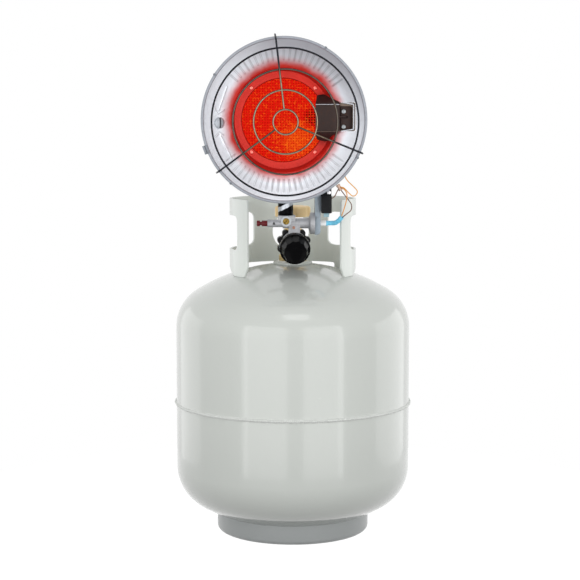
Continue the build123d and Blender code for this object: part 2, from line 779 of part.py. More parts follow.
# ------------------------------------------- die-cast body of regulator and valve
top_plane = Plane.XY.offset(block_top_z)
boss_plane = Plane(origin=(mixer_x, safety_y, plug_boss_z), x_dir=(1, 0, 0), z_dir=(0, -1, 0))
with BuildPart() as heater_valve_body:
    with BuildSketch(knob_plane):
        Circle(regulator_radius)
    extrude(amount=-regulator_disc)
    # Hub behind the disc, which takes the inlet nipple
    hub_plane = outlet_plane.offset(-nut_end_y + free_clearance)
    with BuildSketch(hub_plane):
        Circle(nipple_radius + nut_end_wall)
    extrude(amount=-regulator_y - regulator_disc / 2 + nut_end_y - free_clearance)
    # Neck up to the cross cylinder
    with BuildSketch(Plane.XY.offset(safety_z)):
        with Locations((0, safety_y)):
            Rectangle(neck_width, neck_depth)
    extrude(amount=outlet_z + regulator_radius - neck_depth / 2 - safety_z)
    # Cross cylinder: button guide, barrel, flare and flange
    with BuildSketch(safety_x_plane.offset(guide_left_x)):
        Circle(guide_radius)
    extrude(amount=guide_right_x - guide_left_x)
    with BuildSketch(safety_x_plane.offset(guide_right_x)):
        Circle(barrel_radius)
    extrude(amount=barrel_right_x - guide_right_x)
    with BuildSketch(safety_x_plane.offset(barrel_right_x)):
        Circle(barrel_radius)
    with BuildSketch(safety_x_plane.offset(flange_left_x)):
        Circle(flange_radius - flange_bevel)
    loft()
    with BuildSketch(safety_x_plane.offset(flange_left_x)):
        Circle(flange_radius)
    extrude(amount=flange_right_x - flange_left_x)
    # Outlet block under the mixer tube, and the round boss of its plug
    with BuildSketch(top_plane):
        with Locations((mixer_x + block_width / 2 - bell_radius, mixer_y + bell_radius)):
            Rectangle(block_width, block_depth, align=(Align.CENTER, Align.MAX))
    extrude(amount=-block_height)
    with BuildSketch(boss_plane):
        Circle(plug_boss_radius)
    extrude(amount=plug_boss_length)
    # Bores: regulator chamber, nipple, gas ways, button pocket, stem and magnet chamber
    with BuildSketch(knob_plane):
        Circle(regulator_radius - knob_wall)
    extrude(amount=-regulator_disc / 3, mode=Mode.SUBTRACT)
    with BuildSketch(outlet_plane.offset(-regulator_y - regulator_disc / 2)):
        Circle(nipple_radius)
    extrude(amount=regulator_y + regulator_disc / 2 - nut_end_y + free_clearance, mode=Mode.SUBTRACT)
    with BuildSketch(safety_x_plane.offset(guide_left_x)):
        Circle(guide_pocket_radius)
    extrude(amount=guide_pocket_depth, mode=Mode.SUBTRACT)
    with BuildSketch(safety_x_plane.offset(guide_left_x)):
        Circle(safety_stem_radius + running_clearance)
    extrude(amount=chamber_left_x - guide_left_x, mode=Mode.SUBTRACT)
    with BuildSketch(safety_x_plane.offset(flange_right_x)):
        Circle(chamber_radius)
    extrude(amount=chamber_left_x - flange_right_x, mode=Mode.SUBTRACT)
    with BuildSketch(boss_plane.offset(plug_boss_length)):
        Circle(plug_radius)
    extrude(amount=-plug_length, mode=Mode.SUBTRACT)
    # Triangular vent into the button pocket
    vent_plane = Plane(
        origin=(guide_left_x + guide_pocket_depth - guide_radius / 2, safety_y, safety_z),
        x_dir=(1, 0, 0),
        z_dir=(0, -1, 0),
    )
    with BuildSketch(vent_plane):
        RegularPolygon(guide_radius / 3, 3, rotation=90)
    extrude(amount=2 * guide_radius, mode=Mode.SUBTRACT)
write(heater_valve_body.part, "heater_valve_body")

with BuildPart() as regulator_diaphragm:
    with BuildSketch(knob_plane):
        Circle(regulator_radius - edge_break)
    extrude(amount=diaphragm_thickness)
write(regulator_diaphragm.part, "regulator_diaphragm")

bonnet_plane = knob_plane.offset(diaphragm_thickness)
bonnet_end = diaphragm_thickness + bonnet_flange + bonnet_neck_length
with BuildPart() as regulator_bonnet:
    with BuildSketch(bonnet_plane):
        Circle(regulator_radius)
    extrude(amount=bonnet_flange)
    with BuildSketch(bonnet_plane.offset(bonnet_flange)):
        Circle(bonnet_neck_radius)
    extrude(amount=bonnet_neck_length)
    with BuildSketch(bonnet_plane):
        Circle(spring_bore_radius)
    extrude(amount=bonnet_flange + bonnet_neck_length - screw_radius, mode=Mode.SUBTRACT)
    with BuildSketch(bonnet_plane):
        Circle(screw_radius + running_clearance)
    extrude(amount=bonnet_flange + bonnet_neck_length, mode=Mode.SUBTRACT)
write(regulator_bonnet.part, "regulator_bonnet")

# Spring plate and adjusting screw, which turn with the knob
plate_thickness = 1.5
spring_seat = bonnet_end - screw_radius - plate_thickness
with BuildPart() as adjusting_screw:
    with BuildSketch(knob_plane.offset(spring_seat - plate_thickness)):
        Circle(spring_bore_radius - free_clearance)
    extrude(amount=plate_thickness)
    with BuildSketch(knob_plane.offset(spring_seat)):
        Circle(screw_radius)
    extrude(amount=knob_back + knob_depth - knob_wall - spring_seat)
write(adjusting_screw.part, "adjusting_screw")

with BuildPart() as regulator_spring:
    spring_length = spring_seat - 2 * plate_thickness - diaphragm_thickness - free_clearance
    coil_radius = spring_bore_radius - spring_wire
    coil_length = spring_length - spring_wire
    with BuildLine():
        coil = Helix(
            pitch=coil_length / spring_turns, height=coil_length, radius=coil_radius
        )
    with BuildSketch(Plane(origin=coil @ 0, z_dir=coil % 0)):
        Circle(spring_wire / 2)
    sweep(is_frenet=True)
spring_start = knob_plane.offset(diaphragm_thickness + spring_wire / 2)
write(spring_start.location * regulator_spring.part, "regulator_spring")

with BuildPart() as heat_knob:
    # Skirt, tapered grip and flat face
    with BuildSketch(knob_plane.offset(knob_back)):
        Circle(knob_skirt_radius)
    extrude(amount=knob_skirt_depth)
    with BuildSketch(knob_plane.offset(knob_back + knob_skirt_depth)):
        Circle(knob_skirt_radius - edge_break)
    with BuildSketch(knob_plane.offset(knob_back + knob_depth)):
        Circle(knob_face_radius)
    loft()
    fillet(heat_knob.edges().group_by(Axis.Y)[0], edge_break)
    # Finger flutes round the skirt
    with BuildSketch(knob_plane.offset(knob_back)):
        with PolarLocations(knob_skirt_radius + knob_grip_radius / 2, knob_grip_count):
            Circle(knob_grip_radius)
    extrude(amount=knob_skirt_depth, mode=Mode.SUBTRACT)
    # Hollow back, which clears the bonnet's neck, and the screw's socket
    with BuildSketch(knob_plane.offset(knob_back)):
        Circle(bonnet_neck_radius + free_clearance)
    extrude(amount=bonnet_end + free_clearance - knob_back, mode=Mode.SUBTRACT)
    with BuildSketch(knob_plane.offset(knob_back)):
        Circle(screw_radius)
    extrude(amount=knob_depth - knob_wall, mode=Mode.SUBTRACT)
write(heat_knob.part, "heat_knob")

# ------------------------------------------------------ start button and safety valve
button_left_x = guide_left_x - button_length
button_right_x = guide_left_x + button_seat
waist_left_x = button_left_x + button_length * 0.3
with BuildPart() as start_button:
    with BuildSketch(safety_x_plane.offset(button_left_x)):
        Circle(button_radius)
    extrude(amount=button_right_x - button_left_x)
    fillet(start_button.edges().group_by(Axis.X)[0], button_radius / 5)
    # Waist behind the head
    with BuildSketch(safety_x_plane.offset(waist_left_x)):
        Circle(button_radius)
        Circle(button_waist_radius, mode=Mode.SUBTRACT)
    extrude(amount=button_waist_radius, mode=Mode.SUBTRACT)
    with BuildSketch(safety_x_plane.offset(button_right_x)):
        Circle(safety_stem_radius)
    extrude(amount=-button_waist_radius, mode=Mode.SUBTRACT)
write(start_button.part, "start_button")

seat_left_x = chamber_left_x + free_clearance
with BuildPart() as button_stem:
    with BuildSketch(safety_x_plane.offset(button_right_x - button_waist_radius)):
        Circle(safety_stem_radius)
    extrude(amount=seat_left_x - button_right_x + button_waist_radius)
write(button_stem.part, "button_stem")

with BuildPart() as safety_seat:
    with BuildSketch(safety_x_plane.offset(seat_left_x)):
        Circle(seat_radius)
    extrude(amount=seat_thickness)
write(safety_seat.part, "safety_seat")

with BuildPart() as button_spring:
    pocket_floor_x = guide_left_x + guide_pocket_depth
    button_spring_length = pocket_floor_x - button_right_x - button_spring_wire
    with BuildLine():
        button_coil = Helix(
            pitch=button_spring_length / 4,
            height=button_spring_length,
            radius=button_radius - button_spring_wire,
        )
    with BuildSketch(Plane(origin=button_coil @ 0, z_dir=button_coil % 0)):
        Circle(button_spring_wire / 2)
    sweep(is_frenet=True)
button_spring_start = safety_x_plane.offset(button_right_x + button_spring_wire / 2)
write(button_spring_start.location * button_spring.part, "button_spring")

connector_left_x = flange_right_x + bracket_wall + magnet_nut_length
with BuildPart() as magnet_unit:
    with BuildSketch(safety_x_plane.offset(magnet_left_x)):
        Circle(chamber_radius)
    extrude(amount=connector_left_x - magnet_left_x)
    with BuildSketch(safety_x_plane.offset(connector_left_x)):
        RegularPolygon(magnet_nut_across / 2, 6, major_radius=False)
    extrude(amount=-magnet_nut_length)
write(magnet_unit.part, "magnet_unit")

# --------------------------------------------------------- plug, screw and orifice
with BuildPart() as outlet_plug:
    with BuildSketch(boss_plane.offset(plug_boss_length - plug_length)):
        Circle(plug_radius)
    extrude(amount=plug_length + plug_proud)
    with BuildSketch(boss_plane.offset(plug_boss_length + plug_proud)):
        with Locations(Location((0, 0), plug_slot_angle)):
            Rectangle(1.5 * plug_radius, plug_radius / 4)
    extrude(amount=-plug_length / 3, mode=Mode.SUBTRACT)
write(outlet_plug.part, "outlet_plug")

neck_front_y = safety_y - neck_depth / 2
neck_screw_plane = Plane(
    origin=(neck_screw_x, neck_front_y, neck_screw_z), x_dir=(1, 0, 0), z_dir=(0, -1, 0)
)
with BuildPart() as neck_screw:
    with BuildSketch(neck_screw_plane):
        Circle(neck_screw_radius)
    extrude(amount=neck_screw_radius)
    with BuildSketch(neck_screw_plane.offset(neck_screw_radius)):
        Rectangle(3 * neck_screw_radius, neck_screw_radius / 3)
    extrude(amount=-neck_screw_radius / 3, mode=Mode.SUBTRACT)
write(neck_screw.part, "neck_screw")

with BuildPart() as gas_orifice:
    with BuildSketch(top_plane):
        with Locations((mixer_x, mixer_y)):
            RegularPolygon(orifice_across / 2, 6, major_radius=False)
    extrude(amount=orifice_height * 0.6)
    with BuildSketch(top_plane.offset(orifice_height * 0.6)):
        with Locations((mixer_x, mixer_y)):
            Circle(orifice_across / 3)
    extrude(amount=orifice_height * 0.4)
    with BuildSketch(top_plane):
        with Locations((mixer_x, mixer_y)):
            Circle(orifice_bore)
    extrude(amount=orifice_height, mode=Mode.SUBTRACT)
write(gas_orifice.part, "gas_orifice")

# --------------------------------------------------------------------- mixer tube
bell_top_z = block_top_z + bell_height
mixer_neck_z = bell_top_z + bell_radius - mixer_radius
with BuildPart() as mixer_tube:
    # Bell with its closed band and four air windows
    with BuildSketch(Plane(origin=(mixer_x, mixer_y, 0), z_dir=(0, -1, 0), x_dir=(1, 0, 0))):
        with BuildLine():
            Polyline(
                (bell_radius - mixer_wall, block_top_z),
                (bell_radius, block_top_z),
                (bell_radius, bell_top_z),
                (mixer_radius, mixer_neck_z),
                (mixer_radius - mixer_wall, mixer_neck_z),
                (bell_radius - mixer_wall, bell_top_z),
                close=True,
            )
        make_face()
    revolve(axis=Axis((mixer_x, mixer_y, 0), (0, 0, 1)))
    with BuildSketch(Plane.XY.offset(block_top_z + bell_band)):
        with Locations((mixer_x, mixer_y)):
            with PolarLocations(bell_radius, 4, start_angle=45):
                Rectangle(bell_radius, air_window_width)
    extrude(amount=air_window_height, mode=Mode.SUBTRACT)
    # Pipe up behind the dish, then forward into the burner cup
    with BuildLine() as mixer_path:
        FilletPolyline(
            (mixer_x, mixer_y, mixer_neck_z),
            (mixer_x, mixer_y, dish_z),
            (mixer_x, cup_back_y - cup_corner, dish_z),
            radius=mixer_bend - free_clearance,
        )
    with BuildSketch(Plane.XY.offset(mixer_neck_z)):
        with Locations((mixer_x, mixer_y)):
            Circle(mixer_radius)
            Circle(mixer_radius - mixer_wall, mode=Mode.SUBTRACT)
    sweep(path=mixer_path.line)
write(mixer_tube.part, "mixer_tube")

# -------------------------------------------------------------------- burner head
clamp_y = seat_y + emitter_thickness
with BuildPart() as burner_cup:
    with BuildSketch(dish_section):
        with BuildLine():
            cup_line = FilletPolyline(
                (0, cup_back_y),
                (cup_radius, cup_back_y),
                (cup_radius, clamp_y + cup_wall),
                (cup_radius + clamp_width, clamp_y + cup_wall),
                radius=(cup_corner, cup_wall),
            )
            offset(amount=cup_wall, side=Side.RIGHT)
        make_face()
    revolve(axis=dish_axis)
    with BuildSketch(dish_plane):
        with PolarLocations(rivet_circle, rivet_count, start_angle=45):
            Circle(rivet_radius)
    extrude(amount=-rim_y, mode=Mode.SUBTRACT)
    # Inlet for the mixer tube
    with BuildSketch(Plane(origin=(mixer_x, cup_back_y, dish_z), z_dir=(0, -1, 0))):
        Circle(mixer_radius)
    extrude(amount=3 * cup_wall, both=True, mode=Mode.SUBTRACT)
write(burner_cup.part, "burner_cup")

with BuildPart() as emitter_screen:
    # Flat rim clamped behind the dish's seat, and a slightly crowned middle
    screen_edge = cup_radius + clamp_width
    crown_edge = emitter_radius - dish_wall
    with BuildSketch(dish_section):
        with BuildLine():
            Polyline(
                (0, seat_y - emitter_crown),
                (crown_edge, seat_y),
                (screen_edge, seat_y),
                (screen_edge, clamp_y),
                (crown_edge, clamp_y),
                (0, clamp_y - emitter_crown),
                close=True,
            )
        make_face()
    revolve(axis=dish_axis)
    with BuildSketch(dish_plane):
        with PolarLocations(rivet_circle, rivet_count, start_angle=45):
            Circle(rivet_radius)
    extrude(amount=-rim_y, mode=Mode.SUBTRACT)
write(emitter_screen.part, "emitter_screen")

rim_back_y = rim_y + rim_bead_radius
lip_radius = rim_radius - rim_bead_radius
pocket_width = pocket_right_x - pocket_left_x
pocket_height = pocket_high_z - pocket_low_z
pocket_x = (pocket_left_x + pocket_right_x) / 2
pocket_z = (pocket_low_z + pocket_high_z) / 2
with BuildPart() as reflector_dish:
    # Flat seat round the emitter, recess wall and bowl in two slopes, as one pressed sheet
    bowl_middle = ((recess_edge_radius + lip_radius) / 2, (recess_edge_y + rim_y) / 2 + dish_bow)
    with BuildSketch(dish_section):
        with BuildLine():
            Polyline(
                (emitter_radius, seat_y),
                (recess_radius, seat_y),
                (recess_edge_radius, recess_edge_y),
                bowl_middle,
                (lip_radius, rim_y),
            )
            offset(amount=dish_wall, side=Side.RIGHT)
        make_face()
        with Locations((lip_radius, rim_y)):
            Circle(rim_bead_radius)
    revolve(axis=dish_axis)
    # Opening for the thermocouple pocket
    with BuildSketch(Plane.XZ):
        with Locations((pocket_x, pocket_z)):
            Rectangle(pocket_width, pocket_height)
    extrude(amount=-rim_y, mode=Mode.SUBTRACT)
    # Slit of the lighting port
    with BuildSketch(dish_plane):
        with Locations((port_x, port_z)):
            SlotOverall(2 * port_radius - port_slit, port_slit, rotation=90)
    extrude(amount=-rim_y, mode=Mode.SUBTRACT)
    # Rivet holes
    with BuildSketch(dish_plane):
        with PolarLocations(rivet_circle, rivet_count, start_angle=45):
            Circle(rivet_radius)
    extrude(amount=-rim_y, mode=Mode.SUBTRACT)
write(reflector_dish.part, "reflector_dish")

with BuildPart() as dish_rivets:
    rivet_length = cup_wall + emitter_thickness + dish_wall
    with BuildSketch(dish_plane.offset(-clamp_y - cup_wall)):
        with PolarLocations(rivet_circle, rivet_count, start_angle=45):
            Circle(rivet_radius)
    extrude(amount=rivet_length)
    for face, outward in ((-clamp_y - cup_wall, -1), (dish_wall - seat_y, 1)):
        with BuildSketch(dish_plane.offset(face)):
            with PolarLocations(rivet_circle, rivet_count, start_angle=45):
                Circle(1.5 * rivet_radius)
        extrude(amount=outward * rivet_head)
write(dish_rivets.part, "dish_rivets")

# --------------------------------------------------------------------- wire guard
guard_x = dish_x + guard_shift_x
guard_z = dish_z + guard_shift_z
guard_plane = Plane(origin=(guard_x, 0, guard_z), x_dir=(1, 0, 0), z_dir=(0, -1, 0))
guard_section = Plane(origin=(guard_x, 0, guard_z))
guard_axis = Axis((guard_x, 0, guard_z), (0, 1, 0))
spoke_rim_y = rim_y - rim_bead_radius - guard_wire / 2
ring_step = guard_wire * sqrt(1 + guard_slope**2)


def spoke_y(radius):
    """Where the spokes' centre line lies at a radius from the guard's axis."""
    return spoke_rim_y - guard_slope * (lip_radius - radius)


for name, radius in zip(
    ("guard_hub_ring", "guard_inner_ring", "guard_middle_ring", "guard_outer_ring"), guard_radii
):
    with BuildPart() as ring:
        with BuildSketch(guard_section):
            with Locations((radius, spoke_y(radius) - ring_step)):
                Circle(guard_wire / 2)
        revolve(axis=guard_axis)
    write(ring.part, name)

spokes = []
for angle in spoke_angles:
    # The spoke runs over the rim bead and hooks down behind it.
    out_x, out_z = cos(radians(angle)), sin(radians(angle))
    along = guard_shift_x * out_x + guard_shift_z * out_z
    across = guard_shift_x * out_z - guard_shift_z * out_x
    hook_radius = rim_radius + guard_wire / 2 + hook_over
    reach = sqrt(hook_radius**2 - across**2) - along
    spoke_points = [
        (guard_x + radius * out_x, y, guard_z + radius * out_z)
        for radius, y in (
            (guard_radii[0] - guard_wire / 2, spoke_y(guard_radii[0] - guard_wire / 2)),
            (lip_radius, spoke_rim_y),
            (reach, spoke_rim_y),
            (reach, spoke_rim_y + hook_depth),
        )
    ]
    spokes.append(bent_rod(spoke_points, (4 * guard_wire, guard_wire), guard_wire / 2))
write(Compound(children=spokes), "guard_spokes")

with BuildPart() as rim_clips:
    # Spring clips round the rim bead, and a wider one on the left with a tab that stands out
    clip_sizes = [(angle, clip_width, 0) for angle in clip_angles]
    for angle, width, reach in clip_sizes + [(tab_angle, tab_length, tab_reach)]:
        with BuildSketch(
            Plane(
                origin=(dish_x, 0, dish_z),
                x_dir=(cos(radians(angle)), 0, sin(radians(angle))),
                z_dir=(-sin(radians(angle)), 0, cos(radians(angle))),
            )
        ):
            with Locations((lip_radius, rim_y)):
                Circle(rim_bead_radius + clip_wall)
                if reach:
                    Rectangle(
                        rim_bead_radius + clip_wall + reach,
                        clip_wall,
                        align=(Align.MIN, Align.CENTER),
                    )
                Circle(rim_bead_radius, mode=Mode.SUBTRACT)
                with Locations((-rim_bead_radius - clip_wall, 0)):
                    Rectangle(
                        2 * rim_bead_radius, 4 * rim_bead_radius, mode=Mode.SUBTRACT
                    )
        extrude(amount=width / 2, both=True)
    with BuildSketch(dish_section):
        with Locations((lip_radius, rim_y)):
            Circle(rim_bead_radius)
    revolve(axis=dish_axis, mode=Mode.SUBTRACT)
write(rim_clips.part, "rim_clips")

# -------------------------------------------- thermocouple, its pocket and shield
with BuildPart() as sensor_pocket:
    # Tray let into the dish: a floor, an outer wall and two gussets
    floor_back_y = pocket_floor_y + pocket_wall
    with BuildSketch(Plane.XZ.offset(-floor_back_y)):
        with Locations((pocket_x, pocket_z)):
            Rectangle(pocket_width, pocket_height)
    extrude(amount=pocket_wall)
    with BuildSketch(Plane.XY.offset(pocket_low_z)):
        with BuildLine():
            Polyline(
                (pocket_left_x, pocket_floor_y),
                (pocket_right_x, pocket_floor_y),
                (pocket_right_x, recess_edge_y - pocket_width / 2),
                close=True,
            )
        make_face()
    extrude(amount=pocket_height)
    with BuildSketch(Plane.XY.offset(pocket_low_z + pocket_wall)):
        with Locations((pocket_right_x - pocket_wall, pocket_floor_y)):
            Rectangle(2 * pocket_width, 2 * pocket_width, align=(Align.MAX, Align.MAX))
    extrude(amount=pocket_height - 2 * pocket_wall, mode=Mode.SUBTRACT)
    # Holes for the probe and the two screws
    with BuildSketch(Plane.XZ.offset(-floor_back_y)):
        with Locations((probe_x, pocket_z)):
            Circle(probe_radius)
        with Locations((shield_screw_x, shield_screw_z)):
            with GridLocations(0, shield_screw_spread, 1, 2):
                Circle(shield_screw_radius / 2)
    extrude(amount=-rim_y, mode=Mode.SUBTRACT)
write(sensor_pocket.part, "sensor_pocket")

shield_z = (shield_low_z + shield_high_z) / 2
tab_back_y = pocket_floor_y
probe_y = (shield_y + tab_back_y - shield_wall) / 2
wing = radians(shield_wing_angle)
with BuildPart() as thermocouple_shield:
    # Face in front of the emitter's edge
    with BuildSketch(Plane.XZ.offset(-shield_y)):
        with Locations(((shield_left_x + shield_right_x) / 2, shield_z)):
            Rectangle(shield_right_x - shield_left_x, shield_high_z - shield_low_z)
    extrude(amount=shield_wall)
    # Slanted strip from the face back to the mounting tab
    with BuildSketch(Plane.XY.offset(shield_tab_low_z)):
        with BuildLine():
            Polyline(
                (shield_right_x, shield_y - shield_wall),
                (shield_tab_left_x, tab_back_y - shield_wall),
                (shield_tab_right_x, tab_back_y - shield_wall),
                (shield_tab_right_x, tab_back_y),
                (shield_tab_left_x - shield_wall / 2, tab_back_y),
                (shield_right_x - shield_wall / 2, shield_y),
                (shield_right_x - shield_wall, shield_y - shield_wall),
                close=True,
            )
        make_face()
    extrude(amount=shield_tab_high_z - shield_tab_low_z)
    # Wings bent back above and below the face
    # Their corners are shares of the face's width and of the wings' height.
    face_width = shield_right_x - shield_left_x
    for edge_z, up, corners in (
        (shield_high_z, 1, ((0, 0), (0.08, 0.95), (0.4, 1), (0.65, 0.58), (0.99, 0.2), (1, 0))),
        (shield_low_z, -1, ((0, 0), (-0.03, 0.12), (0.1, 0.84), (0.54, 1), (0.67, 0.5), (1, 0))),
    ):
        wing_plane = Plane(
            origin=(shield_left_x, shield_y - shield_wall, edge_z),
            x_dir=(1, 0, 0),
            z_dir=(0, -cos(wing), up * sin(wing)),
        )
        with BuildSketch(wing_plane):
            with BuildLine():
                Polyline(
                    *[
                        (share * face_width, up * rise * shield_wing_height)
                        for share, rise in corners
                    ],
                    close=True,
                )
            make_face()
        extrude(amount=-shield_wall)
    with BuildSketch(Plane.XZ.offset(-tab_back_y)):
        with Locations((probe_x, pocket_z)):
            Circle(2 * (probe_radius + free_clearance))
        with Locations((shield_screw_x, shield_screw_z)):
            with GridLocations(0, shield_screw_spread, 1, 2):
                Circle(shield_screw_radius / 2)
    extrude(amount=2 * shield_wall, mode=Mode.SUBTRACT)
    strip_left_x = shield_right_x - 2 * shield_wall
    with BuildSketch(Plane(origin=(strip_left_x, probe_y, pocket_z), z_dir=(1, 0, 0))):
        Circle(probe_radius + free_clearance)
    extrude(amount=shield_tab_right_x - strip_left_x, mode=Mode.SUBTRACT)
write(thermocouple_shield.part, "thermocouple_shield")

with BuildPart() as shield_screws:
    with BuildSketch(Plane.XZ.offset(shield_wall - tab_back_y)):
        with Locations((shield_screw_x, shield_screw_z)):
            with GridLocations(0, shield_screw_spread, 1, 2):
                Circle(shield_screw_radius)
    extrude(amount=shield_screw_radius / 2)
    chamfer(shield_screws.edges().group_by(Axis.Y)[0], shield_screw_radius / 4)
    with BuildSketch(Plane.XZ.offset(shield_wall - tab_back_y)):
        with Locations((shield_screw_x, shield_screw_z)):
            with GridLocations(0, shield_screw_spread, 1, 2):
                Circle(shield_screw_radius / 2)
    extrude(amount=-shield_wall - 2 * pocket_wall)
write(shield_screws.part, "shield_screws")

thermocouple = bent_rod(
    [(probe_x, probe_back_y, pocket_z), (probe_x, probe_y, pocket_z), (probe_tip_x, probe_y, pocket_z)],
    probe_bend,
    probe_radius,
)
write(thermocouple, "thermocouple")

# ------------------------------------------------------------- mounting bracket
web_left_x = flange_right_x
web_right_x = web_left_x + bracket_wall
web_front_y = safety_y - bracket_depth / 2 + bracket_wall / 2
web_rear_y = web_front_y + bracket_depth
flange_edge_x = web_left_x + bracket_flange_width
tab_front_y = cup_back_y
bracket_screw_x = bracket_tab_left_x + bracket_screw_inset
with BuildPart() as mounting_bracket:
    # Web clamped between the valve's flange and the magnet unit's nut
    with BuildSketch(safety_x_plane.offset(web_left_x)) as web_outline:
        with Locations(((web_front_y + web_rear_y) / 2 - safety_y, bracket_low_z - safety_z)):
            Rectangle(
                bracket_depth, bracket_top_z - bracket_low_z, align=(Align.CENTER, Align.MIN)
            )
    extrude(amount=bracket_wall)
    fillet(
        mounting_bracket.edges().filter_by(Axis.X).group_by(Axis.Z)[0].sort_by(Axis.Y)[-1],
        bracket_depth / 3,
    )
    # Front flange and the lug behind the tip-over switch
    with BuildSketch(Plane.XZ.offset(-web_front_y - bracket_wall)):
        with Locations((web_left_x, bracket_low_z)):
            Rectangle(
                bracket_flange_width,
                bracket_flange_top_z - bracket_low_z,
                align=(Align.MIN, Align.MIN),
            )
        with Locations((web_left_x, lug_low_z)):
            Rectangle(
                switch_right_x - web_left_x, lug_high_z - lug_low_z, align=(Align.MIN, Align.MIN)
            )
    extrude(amount=bracket_wall)
    fillet(
        mounting_bracket.edges()
        .filter_by(Axis.Y)
        .filter_by_position(Axis.Z, bracket_low_z - bracket_wall, bracket_low_z + bracket_wall)
        .sort_by(Axis.X)[-1],
        bracket_flange_width * 0.6,
    )
    # Tab against the back of the burner cup
    with BuildSketch(Plane.XZ.offset(-tab_front_y - bracket_wall)):
        with Locations((bracket_tab_left_x, bracket_tab_low_z)):
            Rectangle(
                web_right_x - bracket_tab_left_x,
                bracket_tab_high_z - bracket_tab_low_z,
                align=(Align.MIN, Align.MIN),
            )
    extrude(amount=bracket_wall)
    # Holes for the magnet unit, the tab's screws and the switch's screw
    with BuildSketch(safety_x_plane.offset(web_left_x)):
        Circle(chamber_radius)
    extrude(amount=bracket_wall, mode=Mode.SUBTRACT)
    with BuildSketch(Plane.XZ.offset(-tab_front_y)):
        with Locations((bracket_screw_x, bracket_screw_z)):
            with GridLocations(bracket_screw_spread, 0, 2, 1, align=(Align.MIN, Align.CENTER)):
                Circle(bracket_screw_radius)
    extrude(amount=-2 * bracket_wall, mode=Mode.SUBTRACT)
write(mounting_bracket.part, "mounting_bracket")

with BuildPart() as bracket_screws:
    with BuildSketch(Plane.XZ.offset(-tab_front_y - bracket_wall)):
        with Locations((bracket_screw_x, bracket_screw_z)):
            with GridLocations(bracket_screw_spread, 0, 2, 1, align=(Align.MIN, Align.CENTER)):
                Circle(bracket_screw_head)
    extrude(amount=-bracket_screw_radius)
write(bracket_screws.part, "bracket_screws")

# -------------------------------------------------------------- tip-over switch
switch_back_y = web_front_y
switch_front_y = switch_back_y - switch_depth
switch_width = switch_right_x - switch_left_x
switch_plane = Plane.XZ.offset(-switch_back_y)
with BuildPart() as tip_switch:
    with BuildSketch(switch_plane):
        with Locations((switch_left_x, switch_low_z)):
            Rectangle(
                switch_width, switch_high_z - switch_low_z, align=(Align.MIN, Align.MIN)
            )
    extrude(amount=switch_depth)
    fillet(tip_switch.edges().filter_by(Axis.Y), edge_break)
    # The upper end is a thin ear for the fixing screw
    with BuildSketch(switch_plane.offset(switch_ear_depth)):
        with Locations((switch_left_x, switch_ear_z)):
            Rectangle(switch_width, switch_high_z - switch_ear_z, align=(Align.MIN, Align.MIN))
    extrude(amount=switch_depth, mode=Mode.SUBTRACT)
    chamfer(tip_switch.faces().sort_by(Axis.Y)[0].edges(), switch_bevel)
write(tip_switch.part, "tip_switch")

with BuildPart() as switch_screw:
    with BuildSketch(switch_plane.offset(switch_ear_depth)):
        with Locations((switch_screw_x, switch_screw_z)):
            Circle(switch_screw_radius)
    extrude(amount=switch_screw_radius * 0.6)
write(switch_screw.part, "switch_screw")

with BuildPart() as switch_terminals:
    with BuildSketch(Plane.XY.offset(switch_low_z)):
        with Locations(((switch_left_x + switch_right_x) / 2, switch_back_y - switch_depth / 2)):
            with GridLocations(terminal_pitch, 0, 2, 1):
                Rectangle(terminal_width, terminal_width)
    extrude(amount=-terminal_length)
write(switch_terminals.part, "switch_terminals")

# ---------------------------------------------- lead of the flame-failure circuit
connector_end_x = connector_left_x + connector_length
with BuildPart() as lead_connector:
    with BuildSketch(safety_x_plane.offset(connector_left_x)):
        Circle(connector_radius)
    extrude(amount=connector_length)
    fillet(lead_connector.edges().group_by(Axis.X)[-1], connector_radius / 6)
write(lead_connector.part, "lead_connector")

sleeve_route = [
    (connector_end_x, safety_y, safety_z),
    (48.3, safety_y, safety_z),
    (55.2, -61.8, 412.9),
    (61.8, -66.6, 421.4),
]
lead_sleeve = bent_rod(sleeve_route, cord_bends(sleeve_route), sleeve_radius)
write(lead_sleeve, "lead_sleeve")

crimp_centre = (57.0, -70.0, 460.2)
crimp_direction = (-0.5, 0.0, 0.87)
with BuildPart() as lead_crimp:
    with BuildSketch(Plane(origin=crimp_centre, z_dir=crimp_direction)):
        Circle(crimp_radius)
    extrude(amount=crimp_length / 2, both=True)
write(lead_crimp.part, "lead_crimp")

supply_route = [
    (61.04, -66.05, 422.3),
    (65.5, -69.3, 428.1),
    (66.8, -71.0, 438.0),
    (68.8, -73.4, 450.2),
    (64.8, -74.2, 457.4),
    (57.8, -71.5, 461.6),
]
return_route = [
    (62.56, -67.15, 420.5),
    (67.0, -70.4, 426.2),
    (73.6, -70.0, 430.0),
    (74.6, -69.4, 437.2),
    (70.2, -68.8, 443.4),
    (65.0, -68.6, 449.4),
    (58.4, -69.0, 458.0),
]
sensor_route = [
    (switch_right_x, -68.6, 444.4),
    (51.6, -68.6, 444.4),
    (55.4, -69.0, 448.6),
    (54.8, -69.4, 454.2),
    (57.6, -70.2, 459.8),
    (63.2, -70.9, 460.8),
    (70.4, -71.8, 453.6),
    (77.0, -72.6, 448.0),
    (83.2, -73.2, 455.2),
    (76.0, -74.0, 462.4),
    (65.4, -75.4, 470.6),
    (60.4, -77.2, 484.0),
    (61.4, -78.4, 500.0),
    (63.6, -77.6, 518.0),
    (64.8, -75.2, 535.0),
    (probe_x, -73.0, pocket_z),
    (probe_x, probe_back_y, pocket_z),
]
for name, route in (
    ("supply_wire", supply_route), ("return_wire", return_route), ("sensor_wire", sensor_route)
):
    bends = cord_bends(route)
    print(name, "bend radii", [round(bend, 1) for bend in bends])
    write(bent_rod(route, bends, wire_diameter / 2), name)
